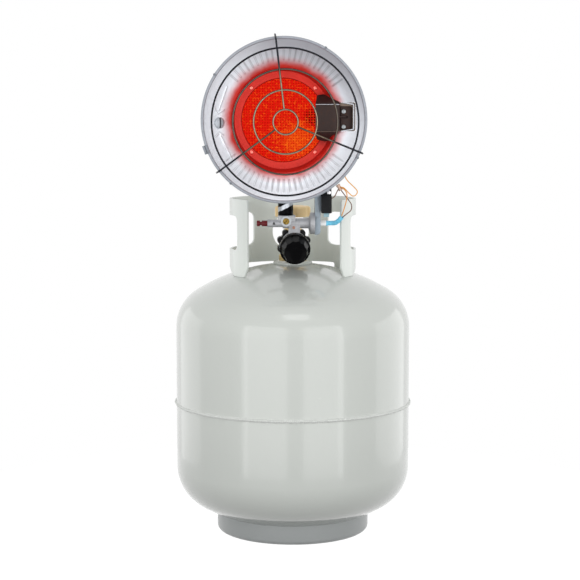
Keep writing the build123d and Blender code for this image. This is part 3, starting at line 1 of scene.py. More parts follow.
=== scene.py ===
"""The looks of a tank-top radiant heater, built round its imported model.

Lengths are millimetres in the model's own frame: +Z up, the heater facing -Y, and the
origin at the centre of the foot ring on the floor. They become metres once, where a
mesh, a curve or a lamp is made. Angles are degrees.
"""

from __future__ import annotations

import logging
import math
from collections.abc import Callable, Iterable, Sequence
from dataclasses import dataclass, field
from enum import Enum

import bmesh
import bpy
from mathutils import Matrix, Vector
from mathutils.geometry import tessellate_polygon


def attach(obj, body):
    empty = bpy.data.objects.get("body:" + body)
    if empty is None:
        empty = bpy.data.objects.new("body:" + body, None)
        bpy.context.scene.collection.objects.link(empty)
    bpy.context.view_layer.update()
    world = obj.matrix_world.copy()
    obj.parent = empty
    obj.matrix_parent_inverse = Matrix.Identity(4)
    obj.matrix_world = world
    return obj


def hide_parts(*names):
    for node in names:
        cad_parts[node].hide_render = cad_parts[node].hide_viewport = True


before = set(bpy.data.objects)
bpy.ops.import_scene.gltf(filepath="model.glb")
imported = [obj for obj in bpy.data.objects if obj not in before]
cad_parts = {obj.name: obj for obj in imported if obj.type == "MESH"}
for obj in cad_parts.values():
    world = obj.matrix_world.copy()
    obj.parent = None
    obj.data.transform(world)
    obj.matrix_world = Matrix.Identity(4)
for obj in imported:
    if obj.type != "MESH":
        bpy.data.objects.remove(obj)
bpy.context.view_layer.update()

MM = 0.001
MERGE = 0.002 * MM
SEED = 7
LOG = logging.getLogger("heater")

Number = float | int
Colour = tuple[float, float, float]
Point = tuple[float, float, float]
Flat = tuple[float, float]
Box = tuple[float, float, float, float]

ROOT = "heater"
RIDERS = {
    "bleed_screw": "bleed_screw",
    "connector_nut": "connector_nut",
    "handwheel_screw": "tank_valve_wheel",
    "heat_knob": "heat_knob",
    "start_button": "start_button",
    "valve_handwheel": "tank_valve_wheel",
}

DISH_AXIS = (-15.0, 546.0)
GUARD_AXIS = (-14.0, 543.7)
DISH_LIP = 101.8
RIM_FRONT = 118.1
RIM_BEAD = 1.9


# ------------------------ plain geometry
def srgb(red: Number, green: Number, blue: Number) -> Colour:
    """A colour written as 0 to 255 screen values, as linear light."""
    shares = (red / 255, green / 255, blue / 255)
    linear = [c / 12.92 if c <= 0.04045 else ((c + 0.055) / 1.055) ** 2.4 for c in shares]
    return linear[0], linear[1], linear[2]


def polar(radius: float, angle: float, centre: Flat = (0, 0)) -> Flat:
    """The point at a radius and an angle from a centre."""
    turn = math.radians(angle)
    return centre[0] + radius * math.cos(turn), centre[1] + radius * math.sin(turn)


def arc(centre: Flat, radius: float, start: float, end: float, steps: int) -> list[Flat]:
    """Points along an arc.

    Args:
        centre: The arc's centre.
        radius: Its radius.
        start: The angle of its first point.
        end: The angle of its last point, which may be the smaller one.
        steps: How many equal steps it has.

    Returns:
        steps + 1 points, both ends included.
    """
    return [polar(radius, start + (end - start) * i / steps, centre) for i in range(steps + 1)]


def circle(radius: float, steps: int, centre: Flat = (0, 0)) -> list[Flat]:
    """Points all the way round a circle."""
    return arc(centre, radius, 0, 360, steps)[:-1]


def straight(start: Flat, end: Flat, parts: int) -> list[Flat]:
    """Points that divide a line into equal parts, both ends included."""
    (x, y), (u, v) = start, end
    return [(x + (u - x) * i / parts, y + (v - y) * i / parts) for i in range(parts + 1)]


def box(left: float, right: float, low: float, high: float) -> list[Flat]:
    """The corners of an upright rectangle."""
    return [(left, low), (right, low), (right, high), (left, high)]


def rounded(corners: Sequence[Flat], radii: Sequence[float] | float, steps: int = 6) -> list[Flat]:
    """A closed outline with its corners rounded.

    Args:
        corners: The outline's corners, in order.
        radii: One radius for all corners, or one for each.
        steps: Steps in each corner's curve.

    Returns:
        The outline's points, in the same order.
    """
    sizes = [radii] * len(corners) if isinstance(radii, (int, float)) else list(radii)
    outline: list[Flat] = []
    for i, (corner, size) in enumerate(zip(corners, sizes)):
        here = Vector(corner)
        back = Vector(corners[i - 1]) - here
        ahead = Vector(corners[(i + 1) % len(corners)]) - here
        if size <= 0:
            outline.append(corner)
            continue
        half = back.angle(ahead) / 2
        reach = min(size / math.tan(half), 0.49 * back.length, 0.49 * ahead.length)
        first, last = here + back.normalized() * reach, here + ahead.normalized() * reach
        for step in range(steps + 1):
            t = step / steps
            blend = first * (1 - t) ** 2 + here * 2 * t * (1 - t) + last * t**2
            outline.append((blend.x, blend.y))
    return outline


def smooth_step(low: float, high: float, value: float) -> float:
    """0 below low, 1 above high, and an even curve between them."""
    t = min(max((value - low) / (high - low), 0.0), 1.0)
    return t * t * (3 - 2 * t)


def frame_at(origin: Point, x_axis: Point, z_axis: Point) -> Matrix:
    """The matrix of a local frame: its origin, and where its X and Z axes point.

    Args:
        origin: Where the frame stands.
        x_axis: Where its X points.
        z_axis: Where its Z points.

    Returns:
        The matrix, in millimetres.
    """
    z = Vector(z_axis).normalized()
    x = Vector(x_axis).normalized()
    y = z.cross(x)
    matrix = Matrix((x, y, z)).transposed().to_4x4()
    matrix.translation = Vector(origin)
    return matrix


def facing_front(x: float = 0, z: float = 0) -> Matrix:
    """A frame whose X is the model's X, whose Y is up and whose Z points at the viewer."""
    return frame_at((x, 0, z), (1, 0, 0), (0, -1, 0))


@dataclass
class Form:
    """A mesh in the making: its points, and the faces between them."""

    points: list[Point] = field(default_factory=list)
    faces: list[tuple[int, ...]] = field(default_factory=list)

    def add(self, other: Form) -> Form:
        """Takes in another form's points and faces."""
        start = len(self.points)
        self.points += other.points
        self.faces += [tuple(start + corner for corner in face) for face in other.faces]
        return self

    def moved(self, matrix: Matrix) -> Form:
        """A copy of the form, placed by a matrix."""
        return Form([tuple(matrix @ Vector(p)) for p in self.points], list(self.faces))

    def net(self, rows: Sequence[Sequence[Point]], close: bool = False) -> Form:
        """Joins rows of equally many points with four-sided faces.

        Args:
            rows: The rows, each going the same way round.
            close: Whether the last row joins the first one.

        Returns:
            The form itself.
        """
        start, width = len(self.points), len(rows[0])
        for row in rows:
            self.points += list(row)
        count = len(rows) if close else len(rows) - 1
        for i in range(count):
            low, high = start + i * width, start + ((i + 1) % len(rows)) * width
            for j in range(width):
                k = (j + 1) % width
                self.faces.append((low + j, low + k, high + k, high + j))
        return self


def lathe(
    profile: Sequence[Flat],
    segments: int,
    shape: Callable[[float, float, float], Flat] | None = None,
) -> Form:
    """Turns a closed profile round the local Z axis.

    Args:
        profile: The section's points, as radius and height.
        segments: Steps round the axis.
        shape: Changes a point's radius and height by its angle, where given.

    Returns:
        The turned form.
    """
    rows = []
    for radius, height in profile:
        row = []
        for step in range(segments):
            angle = 360 * step / segments
            r, h = shape(radius, height, angle) if shape else (radius, height)
            x, y = polar(r, angle)
            row.append((x, y, h))
        rows.append(row)
    return Form().net(rows, close=True)


def slab(
    outline: Sequence[Flat], low: float, high: float, holes: Sequence[Sequence[Flat]] = ()
) -> Form:
    """A flat plate between two heights.

    Args:
        outline: Its edge.
        low: The height of its underside.
        high: The height of its top.
        holes: The edges of its holes.

    Returns:
        The plate.
    """
    loops = [list(outline)] + [list(hole) for hole in holes]
    flat = [point for loop in loops for point in loop]
    count = len(flat)
    triangles = tessellate_polygon([[Vector((x, y, 0)) for x, y in loop] for loop in loops])
    form = Form([(x, y, low) for x, y in flat] + [(x, y, high) for x, y in flat])
    for a, b, c in triangles:
        form.faces += [(c, b, a), (count + a, count + b, count + c)]
    start = 0
    for loop in loops:
        size = len(loop)
        for i in range(size):
            a, b = start + i, start + (i + 1) % size
            form.faces.append((a, b, count + b, count + a))
        start += size
    return form


def tube(path: Sequence[Point], radius: float | Sequence[float], sides: int = 12) -> Form:
    """A round rod along a path, closed at both ends.

    Args:
        path: The points of its centre line.
        radius: Its radius, or one radius for each point.
        sides: Corners of its section.

    Returns:
        The rod.
    """
    line = [Vector(point) for point in path]
    sizes = [radius] * len(line) if isinstance(radius, (int, float)) else list(radius)
    along = (line[1] - line[0]).normalized()
    side = along.orthogonal().normalized()
    rows = []
    for i, (point, size) in enumerate(zip(line, sizes)):
        ahead = (line[min(i + 1, len(line) - 1)] - line[max(i - 1, 0)]).normalized()
        side = (side - ahead * side.dot(ahead)).normalized()
        up = ahead.cross(side)
        rows.append([tuple(point + side * u + up * v) for u, v in circle(size, sides)])
    form = Form().net(rows)
    last = len(form.points) - sides
    form.faces += [tuple(reversed(range(sides))), tuple(range(last, last + sides))]
    return form


def bent_path(corners: Sequence[Point], radii: Sequence[float], steps: int = 8) -> list[Point]:
    """Straight runs joined by round bends.

    Args:
        corners: The ends and the corners of the path.
        radii: The bend's radius at each inner corner.
        steps: Steps in each bend.

    Returns:
        The path's points.
    """
    line = [Vector(corner) for corner in corners]
    path = [line[0]]
    for before, here, after, radius in zip(line, line[1:], line[2:], radii):
        back, ahead = (before - here).normalized(), (after - here).normalized()
        half = back.angle(ahead) / 2
        reach = radius / math.tan(half)
        centre = here + (back + ahead).normalized() * (radius / math.sin(half))
        first, last = here + back * reach - centre, here + ahead * reach - centre
        for step in range(steps + 1):
            path.append(centre + first.slerp(last, step / steps, first))
    path.append(line[-1])
    return [tuple(point) for point in path]


# ------------------------ node trees
class Value:
    """What a node gives, with Python's arithmetic."""

    def __init__(self, graph: Graph, socket: bpy.types.NodeSocket) -> None:
        """Wraps an output socket of one of a graph's nodes."""
        self.graph = graph
        self.socket = socket

    def _maths(self, operation: str, first: Value | Number, second: Value | Number) -> Value:
        """The result of a Math node on two values."""
        return self.graph.node("ShaderNodeMath", {"operation": operation}, {0: first, 1: second})

    def __add__(self, other: Value | Number) -> Value:
        """self + other."""
        return self._maths("ADD", self, other)

    def __radd__(self, other: Number) -> Value:
        """other + self."""
        return self._maths("ADD", other, self)

    def __sub__(self, other: Value | Number) -> Value:
        """self - other."""
        return self._maths("SUBTRACT", self, other)

    def __rsub__(self, other: Number) -> Value:
        """other - self."""
        return self._maths("SUBTRACT", other, self)

    def __mul__(self, other: Value | Number) -> Value:
        """self * other."""
        return self._maths("MULTIPLY", self, other)

    def __rmul__(self, other: Number) -> Value:
        """other * self."""
        return self._maths("MULTIPLY", other, self)

    def __truediv__(self, other: Value | Number) -> Value:
        """self / other."""
        return self._maths("DIVIDE", self, other)

    def __rtruediv__(self, other: Number) -> Value:
        """other / self."""
        return self._maths("DIVIDE", other, self)

    def __pow__(self, other: Value | Number) -> Value:
        """self ** other."""
        return self._maths("POWER", self, other)

    def __rpow__(self, other: Number) -> Value:
        """other ** self."""
        return self._maths("POWER", other, self)

    def at_most(self, other: Value | Number) -> Value:
        """The smaller of the two."""
        return self._maths("MINIMUM", self, other)

    def at_least(self, other: Value | Number) -> Value:
        """The larger of the two."""
        return self._maths("MAXIMUM", self, other)

    def step(self, low: Number, high: Number) -> Value:
        """0 at low and 1 at high, with an even curve between; low may be the larger."""
        settings = {"interpolation_type": "SMOOTHSTEP"}
        inputs = {"Value": self, "From Min": low, "From Max": high}
        return self.graph.node("ShaderNodeMapRange", settings, inputs)


Feed = Value | Number | Sequence[float] | bpy.types.Material


class Graph:
    """A node tree in the making."""

    def __init__(self, tree: bpy.types.NodeTree) -> None:
        """Takes the tree that the nodes go into."""
        self.tree = tree

    def node(
        self,
        kind: str,
        settings: dict[str, object] | None = None,
        inputs: dict[str | int, Feed] | None = None,
        output: int | str = 0,
    ) -> Value:
        """Adds a node.

        Args:
            kind: The node's type.
            settings: Its properties, set first.
            inputs: Values or links for its sockets, by name or number.
            output: The output that is wanted.

        Returns:
            That output.
        """
        made = self.tree.nodes.new(kind)
        for name, setting in (settings or {}).items():
            setattr(made, name, setting)
        for name, feed in (inputs or {}).items():
            socket = made.inputs[name]
            if isinstance(feed, Value):
                self.tree.links.new(feed.socket, socket)
            elif isinstance(feed, Sequence):
                socket.default_value = (*feed, 1) if socket.type == "RGBA" else tuple(feed)
            else:
                socket.default_value = feed
        return Value(self, made.outputs[output])


class Shader(Graph):
    """The node tree of one material, or of the surroundings."""

    def __init__(self, owner: bpy.types.Material | bpy.types.World) -> None:
        """Empties the owner's tree."""
        owner.use_nodes = True
        owner.node_tree.nodes.clear()
        super().__init__(owner.node_tree)
        self.owner = owner

    def seen(self) -> Value:
        """1 for rays that show the background: the camera's, and mirrored or bent ones."""
        seen = self.node("ShaderNodeLightPath", output="Is Camera Ray")
        outputs = seen.socket.node.outputs
        for kind in ("Is Glossy Ray", "Is Transmission Ray"):
            seen = seen.at_least(Value(self, outputs[kind]))
        return seen

    def place(self, stretch: Point = (1, 1, 1)) -> Value:
        """The surface point in millimetres, each axis times its stretch."""
        spot = self.node("ShaderNodeTexCoord", output="Object")
        inputs = {0: spot, 1: tuple(axis / MM for axis in stretch)}
        return self.node("ShaderNodeVectorMath", {"operation": "MULTIPLY"}, inputs, "Vector")

    def attribute(self, name: str) -> Value:
        """A number that the mesh carries at each point."""
        return self.node("ShaderNodeAttribute", {"attribute_name": name}, output="Fac")

    def radius(self, place: Value, axis: Flat) -> Value:
        """How far a point is from an axis that runs forwards, given by its X and Z."""
        x, _, z = self.axes(place)
        across, up = x - axis[0], z - axis[1]
        return (across * across + up * up) ** 0.5

    def near(self, place: Value, spot: Point, reach: float, full: float) -> Value:
        """1 within full of a spot, falling to 0 at reach from it."""
        settings = {"operation": "DISTANCE"}
        away = self.node("ShaderNodeVectorMath", settings, {0: place, 1: spot}, "Value")
        return away.step(reach, full)

    def axes(self, place: Value) -> tuple[Value, Value, Value]:
        """A point's three numbers."""
        split = self.node("ShaderNodeSeparateXYZ", inputs={0: place})
        outputs = split.socket.node.outputs
        return Value(self, outputs[0]), Value(self, outputs[1]), Value(self, outputs[2])

    def noise(self, place: Value, size: float, detail: float = 2, lumps: float = 0.5) -> Value:
        """Cloudy noise about 0.5, whose lumps are about size across."""
        inputs = {"Vector": place, "Scale": 1 / size, "Detail": detail, "Roughness": lumps}
        return self.node("ShaderNodeTexNoise", inputs=inputs)

    def cells(self, place: Value, size: float) -> Value:
        """Distance to the nearest of scattered points that are size apart."""
        return self.node("ShaderNodeTexVoronoi", inputs={"Vector": place, "Scale": 1 / size})

    def mix(self, share: Value | Number, first: Feed, second: Feed) -> Value:
        """A colour between two, first where share is 0."""
        inputs = {0: share, 6: first, 7: second}
        return self.node("ShaderNodeMix", {"data_type": "RGBA"}, inputs, 2)

    def shade(self, colour: Feed, share: Value) -> Value:
        """A colour times a number that changes over the surface."""
        grey = self.node("ShaderNodeCombineColor", inputs={0: share, 1: share, 2: share})
        settings = {"data_type": "RGBA", "blend_type": "MULTIPLY"}
        return self.node("ShaderNodeMix", settings, {0: 1.0, 6: colour, 7: grey}, 2)

    def bump(self, height: Value, depth: float, below: Value | None = None) -> Value:
        """A normal for a height from 0 to 1 that stands depth millimetres proud."""
        inputs: dict[str | int, Feed] = {"Height": height, "Distance": depth * MM}
        if below is not None:
            inputs["Normal"] = below
        return self.node("ShaderNodeBump", None, inputs, "Normal")

    def finish(self, **inputs: Feed) -> bpy.types.Material:
        """Ends the tree in one Principled shader, with underscores for spaces in names."""
        named = {name.replace("_", " "): feed for name, feed in inputs.items()}
        return self.surface(self.node("ShaderNodeBsdfPrincipled", None, named))

    def surface(
        self, skin: Value, kind: str = "ShaderNodeOutputMaterial"
    ) -> bpy.types.Material | bpy.types.World:
        """Ends the tree in a surface, and gives back what it belongs to."""
        outlet = self.tree.nodes.new(kind)
        self.tree.links.new(skin.socket, outlet.inputs["Surface"])
        return self.owner


# ------------------------ finishes
class Grain(Enum):
    """Which way a metal's fine marks run, as the stretch of the noise that makes them."""

    NONE = (1.0, 1.0, 1.0)
    ALONG_Z = (1.0, 1.0, 0.06)


@dataclass(frozen=True)
class Finish:
    """A surface finish, whose material is made once and shared."""

    name: str
    colour: Colour

    def material(self) -> bpy.types.Material:
        """The finish's material, made on its first use."""
        known = bpy.data.materials.get(self.name)
        return known or self.make(Shader(bpy.data.materials.new(self.name)))

    def make(self, shader: Shader) -> bpy.types.Material:
        """Builds the material in a new shader."""
        raise NotImplementedError


@dataclass(frozen=True)
class Enamel(Finish):
    """Sprayed gloss paint on steel: faint peel, dust in the film and a few scuffs."""

    roughness: float = 0.16
    coat: float = 0.55
    peel: float = 0.012
    speck: Colour = srgb(120, 112, 98)

    def make(self, shader: Shader) -> bpy.types.Material:
        """Builds the paint."""
        place = shader.place()
        cloud = shader.noise(place, 160, 3)
        peel = shader.noise(place, 2.6, 1)
        fine = shader.noise(place, 9, 2)
        specks = shader.cells(place, 17).step(0.035, 0.015)
        specks = specks * shader.noise(place, 60).step(0.55, 0.7)
        scuffs = shader.noise(shader.place((0.2, 1, 1)), 5, 4, 0.7).step(0.66, 0.8)
        tint = shader.shade(self.colour, 0.97 + cloud * 0.06)
        tint = shader.mix(specks * 0.7, tint, self.speck)
        tint = shader.mix(scuffs * 0.10, tint, srgb(236, 236, 232))
        return shader.finish(
            Base_Color=tint,
            Roughness=self.roughness + fine * 0.08 + scuffs * 0.2,
            Coat_Weight=self.coat,
            Coat_Roughness=0.04,
            Normal=shader.bump(peel, self.peel),
        )


@dataclass(frozen=True)
class Metal(Finish):
    """Bare, plated or cast metal with its grain, stains and small dents."""

    roughness: float = 0.3
    grain: Grain = Grain.NONE
    grain_size: float = 0.6
    grain_depth: float = 0.02
    stain: Colour = srgb(110, 100, 90)
    stain_share: float = 0.2
    dents: float = 0.0
    metallic: float = 1.0

    def make(self, shader: Shader) -> bpy.types.Material:
        """Builds the metal."""
        place = shader.place()
        marks = shader.noise(shader.place(self.grain.value), self.grain_size, 4, 0.65)
        cloud = shader.noise(place, 14, 4, 0.6)
        patches = shader.noise(place, 5, 5, 0.65).step(0.48, 0.72)
        tint = shader.shade(self.colour, 0.86 + marks * 0.16 + cloud * 0.12)
        tint = shader.mix(patches * self.stain_share, tint, self.stain)
        tint = self.zoned(shader, place, tint)
        normal = shader.bump(marks, self.grain_depth)
        if self.dents:
            normal = shader.bump(shader.noise(place, 11, 2), self.dents, normal)
        return shader.finish(
            Base_Color=tint,
            Metallic=self.metallic,
            Roughness=self.roughness + marks * 0.12 + patches * 0.15,
            Normal=normal,
        )

    def zoned(self, shader: Shader, place: Value, tint: Value) -> Value:
        """The tint, changed where one area of the metal differs."""
        return tint


@dataclass(frozen=True)
class ShadedWire(Metal):
    """Guard wire with painted light: bright in front of the burner, where the screen's glow falls,
    with painted shade out at the rim and on its flanks.
    """

    axis: Flat = (-14.0, 543.7)
    bright_to: float = 48.0
    rim_shade_from: float = 76.0
    rim_shade: Colour = srgb(40, 42, 47)
    flank: Colour = srgb(62, 50, 42)

    def zoned(self, shader: Shader, place: Value, tint: Value) -> Value:
        """Paints shade on the wire's flanks, and paints it darker by its distance from the guard's
        axis.
        """
        tint = shader.mix(shader.attribute("flank") * 0.92, tint, self.flank)
        radius = shader.radius(place, self.axis)
        return shader.mix(radius.step(self.bright_to, self.rim_shade_from), tint, self.rim_shade)


@dataclass(frozen=True)
class LitRivet(Metal):
    """A rivet whose front head is lit red by the screen."""

    lit_to: float = -77.0
    lit: Colour = srgb(242, 128, 116)

    def zoned(self, shader: Shader, place: Value, tint: Value) -> Value:
        """Lights the front head."""
        _, y, _ = shader.axes(place)
        return shader.mix(y.step(self.lit_to, self.lit_to - 0.4), tint, self.lit)


@dataclass(frozen=True)
class MachinedCasting(Metal):
    """A casting with one boss that is turned bright."""

    boss: Point = (-10.9, -66.5, 416.6)
    boss_radius: float = 7.6
    bright: Colour = srgb(186, 190, 194)

    def zoned(self, shader: Shader, place: Value, tint: Value) -> Value:
        """Brightens the boss."""
        spot = shader.near(place, self.boss, self.boss_radius + 1, self.boss_radius - 0.6)
        return shader.mix(spot, tint, self.bright)


@dataclass(frozen=True)
class PaintedTube(Metal):
    """A steel tube with a blackened bell, left bright in a diagonal band across its front."""

    black_to: float = 452.0
    black: Colour = srgb(18, 18, 20)
    bright_band: Flat = (-10.9, 435.0)
    bright_band_slope: float = 0.5
    bright_band_width: float = 5.8

    def zoned(self, shader: Shader, place: Value, tint: Value) -> Value:
        """Blackens the bell, apart from a bright diagonal band across its front."""
        x, _, z = shader.axes(place)
        ragged = shader.noise(place, 5, 3) * 3
        streak = z - self.bright_band[1] - (x - self.bright_band[0]) * self.bright_band_slope + ragged - 1.9
        half = self.bright_band_width / 2
        bright_band = streak.step(-half - 0.5, -half + 0.3) * streak.step(half + 0.5, half - 0.3)
        black = (z + ragged).step(self.black_to + 2, self.black_to) * (1 - bright_band)
        return shader.mix(black, tint, self.black)


@dataclass(frozen=True)
class Moulded(Finish):
    """Moulded plastic or rubber: a fine skin texture, rubbed a little paler in places."""

    roughness: float = 0.35
    texture: float = 0.6
    depth: float = 0.015
    rub: Colour = srgb(150, 150, 150)
    rub_share: float = 0.06
    specular: float = 0.5
    change_x: float | None = None
    changed: Colour = (0.0, 0.0, 0.0)

    def make(self, shader: Shader) -> bpy.types.Material:
        """Builds the plastic."""
        place = shader.place()
        skin = shader.noise(place, self.texture, 3)
        cloud = shader.noise(place, 12, 3)
        rubs = shader.noise(shader.place((0.4, 1, 1)), 3, 5, 0.7).step(0.55, 0.75)
        tint = shader.shade(self.colour, 0.9 + cloud * 0.2)
        tint = shader.mix(rubs * self.rub_share, tint, self.rub)
        if self.change_x is not None:
            x, _, _ = shader.axes(place)
            tint = shader.mix(x.step(self.change_x, self.change_x - 1), tint, self.changed)
        return shader.finish(
            Base_Color=tint,
            Roughness=self.roughness + skin * 0.08 + rubs * 0.15,
            Specular_IOR_Level=self.specular,
            Normal=shader.bump(skin, self.depth),
        )


@dataclass(frozen=True)
class HeatedSheet(Finish):
    """Bright pressed sheet, lit red where it stands close to the glowing screen."""

    axis: Flat
    glow: Colour = srgb(186, 38, 26)
    glow_full: float = 66.0
    glow_end: float = 82.0
    roughness: float = 0.3
    top_shade: Colour = srgb(150, 150, 158)
    shaded: Point = (34, -84, 546)
    shaded_reach: float = 40.0

    def make(self, shader: Shader) -> bpy.types.Material:
        """Builds the sheet metal, with its painted red glow measured from the burner's axis,
        painted shade towards the top and the right, in the creases and round the shield.
        """
        place = shader.place()
        x, _, z = shader.axes(place)
        ragged = shader.radius(place, self.axis) + shader.noise(place, 16, 3) * 9 - 4.5
        glow = ragged.step(self.glow_end, self.glow_full) * shader.attribute("lit")
        rolled = shader.noise(shader.place((1, 1, 0.05)), 0.9, 4, 0.6)
        cloud = shader.noise(place, 26, 4, 0.6)
        # Painted shade: the sheet darkens towards the top and the right.
        top_shade_share = ((z - self.axis[1]) + (x - self.axis[0]) * 0.6).step(10, 125)
        # Painted shade along the pressing's steep flanks, read from the steepness stored on the
        # mesh.
        creased = shader.attribute("creased").step(0.1, 1.3)
        tint = shader.shade(self.colour, 0.95 + rolled * 0.1 + cloud * 0.14)
        tint = shader.mix(top_shade_share * 0.75, tint, self.top_shade)
        tint = shader.shade(tint, 1 - creased * 0.42)
        shaded = shader.near(place, self.shaded, self.shaded_reach, self.shaded_reach * 0.55)
        red = shader.shade(self.glow, (0.8 + cloud * 0.4) * (1 - shaded * 0.45))
        tint = shader.mix(glow * 0.98, tint, red)
        return shader.finish(
            Base_Color=tint,
            Metallic=0.6 + glow * 0.4,
            Roughness=self.roughness + rolled * 0.1 + glow * 0.1,
            Emission_Color=shader.shade(self.glow, glow * 0.08),
            Emission_Strength=1.0,
            Normal=shader.bump(rolled, 0.02),
        )


@dataclass(frozen=True)
class Glowing(Finish):
    """The burner's screen, red hot, with a hotter patch and a cooler edge."""

    hot: Colour
    hot_spot: Point = (3, -90, 521)
    hot_reach: float = 42.0
    cool_spot: Point = (23, -76, 550)
    cool_reach: float = 15.0
    cooling: float = 0.2

    def make(self, shader: Shader) -> bpy.types.Material:
        """Builds the glow."""
        place = shader.place()
        heat = shader.near(place, self.hot_spot, self.hot_reach, self.hot_reach * 0.15)
        cool = shader.near(place, self.cool_spot, self.cool_reach, self.cool_reach * 0.5)
        flicker = shader.noise(place, 2.6, 3, 0.6).step(0.42, 0.72)
        share = (heat * 0.5 + flicker * 0.7 - 0.2).at_least(0).at_most(1)
        light = shader.mix(share, self.colour, self.hot)
        light = shader.shade(light, 1 - cool * self.cooling)
        return shader.finish(
            Base_Color=shader.shade(self.colour, 0.05 + flicker * 0.05),
            Roughness=0.75,
            Specular_IOR_Level=0.05,
            Emission_Color=light,
            Emission_Strength=1.0,
        )


SHELL_GREY = srgb(200, 204, 199)
TANK_PAINT = Enamel("tank_enamel", SHELL_GREY)
WELD_PAINT = Enamel("weld_enamel", srgb(212, 215, 211), peel=0.04)
COLLAR_PAINT = Enamel("collar_enamel", srgb(219, 224, 219), roughness=0.3, coat=0.35)
FOOT_PAINT = Enamel("foot_enamel", srgb(172, 176, 176), roughness=0.34, coat=0.25)
BRASS = Metal("valve_brass", srgb(204, 168, 92), roughness=0.26, stain=srgb(120, 88, 44))
# A darker copy of the valve brass for the front-facing plug: painted shade, with heavier stains.
SHADED_PLUG_BRASS = Metal(
    "dulled_plug_brass",
    srgb(142, 118, 62),
    roughness=0.3,
    stain=srgb(72, 52, 24),
    stain_share=0.6,
)
DULL_COPPER = Metal("dulled_copper", srgb(160, 122, 106), roughness=0.3, stain=srgb(84, 52, 44))
BARE_STEEL = Metal("bare_steel", srgb(178, 180, 184), grain=Grain.ALONG_Z)
ZINC = Metal("zinc_plate", srgb(212, 212, 216), roughness=0.2, stain_share=0.08)
DIE_CAST = MachinedCasting(
    "die_cast_alloy",
    srgb(176, 177, 180),
    metallic=0.5,
    roughness=0.48,
    grain_size=0.7,
    grain_depth=0.08,
    stain=srgb(120, 118, 120),
    stain_share=0.35,
    dents=0.12,
)
GALVANISED = Metal("galvanised_steel", srgb(138, 149, 158), roughness=0.4, metallic=0.7)
ALUMINISED = Metal("aluminised_steel", srgb(186, 188, 194), roughness=0.34, grain=Grain.ALONG_Z)
HEAT_TINT = Metal(
    "heat_tinted_steel",
    srgb(50, 36, 33),
    roughness=0.42,
    stain=srgb(78, 48, 36),
    stain_share=0.5,
    metallic=0.6,
)
TINTED_TRAY = Metal("heat_tinted_tray", srgb(118, 104, 94), roughness=0.32, stain=srgb(84, 58, 46))
BRIGHT_EDGE = Metal("bright_pressed_edge", srgb(196, 198, 204), roughness=0.2, stain_share=0.25)
SCREW_GREY = Metal("grey_screw", srgb(146, 150, 152), roughness=0.24, stain_share=0.35)
GUARD_WIRE = ShadedWire(
    "plated_guard_wire",
    srgb(158, 144, 124),
    roughness=0.14,
    grain_size=1.6,
    stain=srgb(70, 56, 46),
    stain_share=0.75,
)
RIM_METAL = Metal(
    "rolled_rim_metal", srgb(158, 162, 170), roughness=0.5, stain_share=0.1, metallic=0.5
)
CLIP_METAL = Metal("dark_clip_metal", srgb(118, 122, 128), roughness=0.3)
LOUVER_METAL = Metal("pressed_louver_metal", srgb(172, 177, 184), roughness=0.3, metallic=0.7)
RIVET_METAL = LitRivet("rivet_metal", srgb(170, 172, 176), roughness=0.22, stain_share=0.0)
BELL_METAL = PaintedTube("blackened_bell", srgb(196, 200, 206), roughness=0.36)
# Painted shadow behind the lighting port's slit.
PIT_SHADOW_BLACK = Metal("blackened_steel", srgb(34, 34, 37), roughness=0.3, metallic=0.5)
GLOSS_BLACK = Moulded(
    "gloss_black_plastic", srgb(3, 3, 4), roughness=0.1, depth=0.003, rub_share=0.01, specular=0.045
)
NUT_BLACK = Moulded("satin_black_plastic", srgb(12, 12, 14), roughness=0.3, specular=0.2)
SWITCH_BLACK = Moulded("switch_black_plastic", srgb(15, 16, 19), roughness=0.34, specular=0.15)
WHEEL_TAN = Moulded("tan_plastic", srgb(255, 222, 164), roughness=0.42, rub=srgb(255, 238, 208))
BUTTON_RED = Moulded(
    "dark_red_button", srgb(98, 8, 16), roughness=0.26, rub=srgb(150, 40, 44), specular=0.3
)
RUBBER = Moulded("black_rubber", srgb(26, 26, 27), roughness=0.6)
FOAM = Moulded("float_foam", srgb(44, 44, 46), roughness=0.7, texture=1.6, depth=0.08)
NYLON = Moulded("white_nylon", srgb(253, 253, 253), roughness=0.4, rub=srgb(228, 228, 224))
TERMINAL_BLUE = Moulded("pale_blue_terminal", srgb(148, 184, 194), roughness=0.35)
SLEEVE_BLUE = Moulded(
    "sky_blue_sleeve", srgb(120, 212, 246), roughness=0.3, rub=srgb(200, 238, 250)
)
WIRE_BROWN = Moulded("brown_insulation", srgb(112, 76, 60), roughness=0.45)
WIRE_ORANGE = Moulded("orange_insulation", srgb(236, 158, 66), roughness=0.42)
WIRE_TAN = Moulded(
    "golden_insulation",
    srgb(240, 172, 82),
    roughness=0.42,
    change_x=57.5,
    changed=srgb(122, 80, 58),
)
CRIMP_TINT = Metal("crimp_metal", srgb(186, 158, 142), roughness=0.3)
BRIGHT_SHEET = HeatedSheet("reflector_sheet", srgb(232, 236, 243), axis=DISH_AXIS)
EMBER = Glowing("glowing_screen", srgb(218, 20, 8), hot=srgb(250, 116, 20))
# A dim red for the ring at the screen's border: painted shade along its edge.
EDGE_SHADE_GLOW = Glowing("shaded_gap", srgb(128, 12, 5), hot=srgb(164, 30, 10))
COALS = Glowing("ember_bed", srgb(186, 10, 3), hot=srgb(232, 84, 8), cooling=0.985)


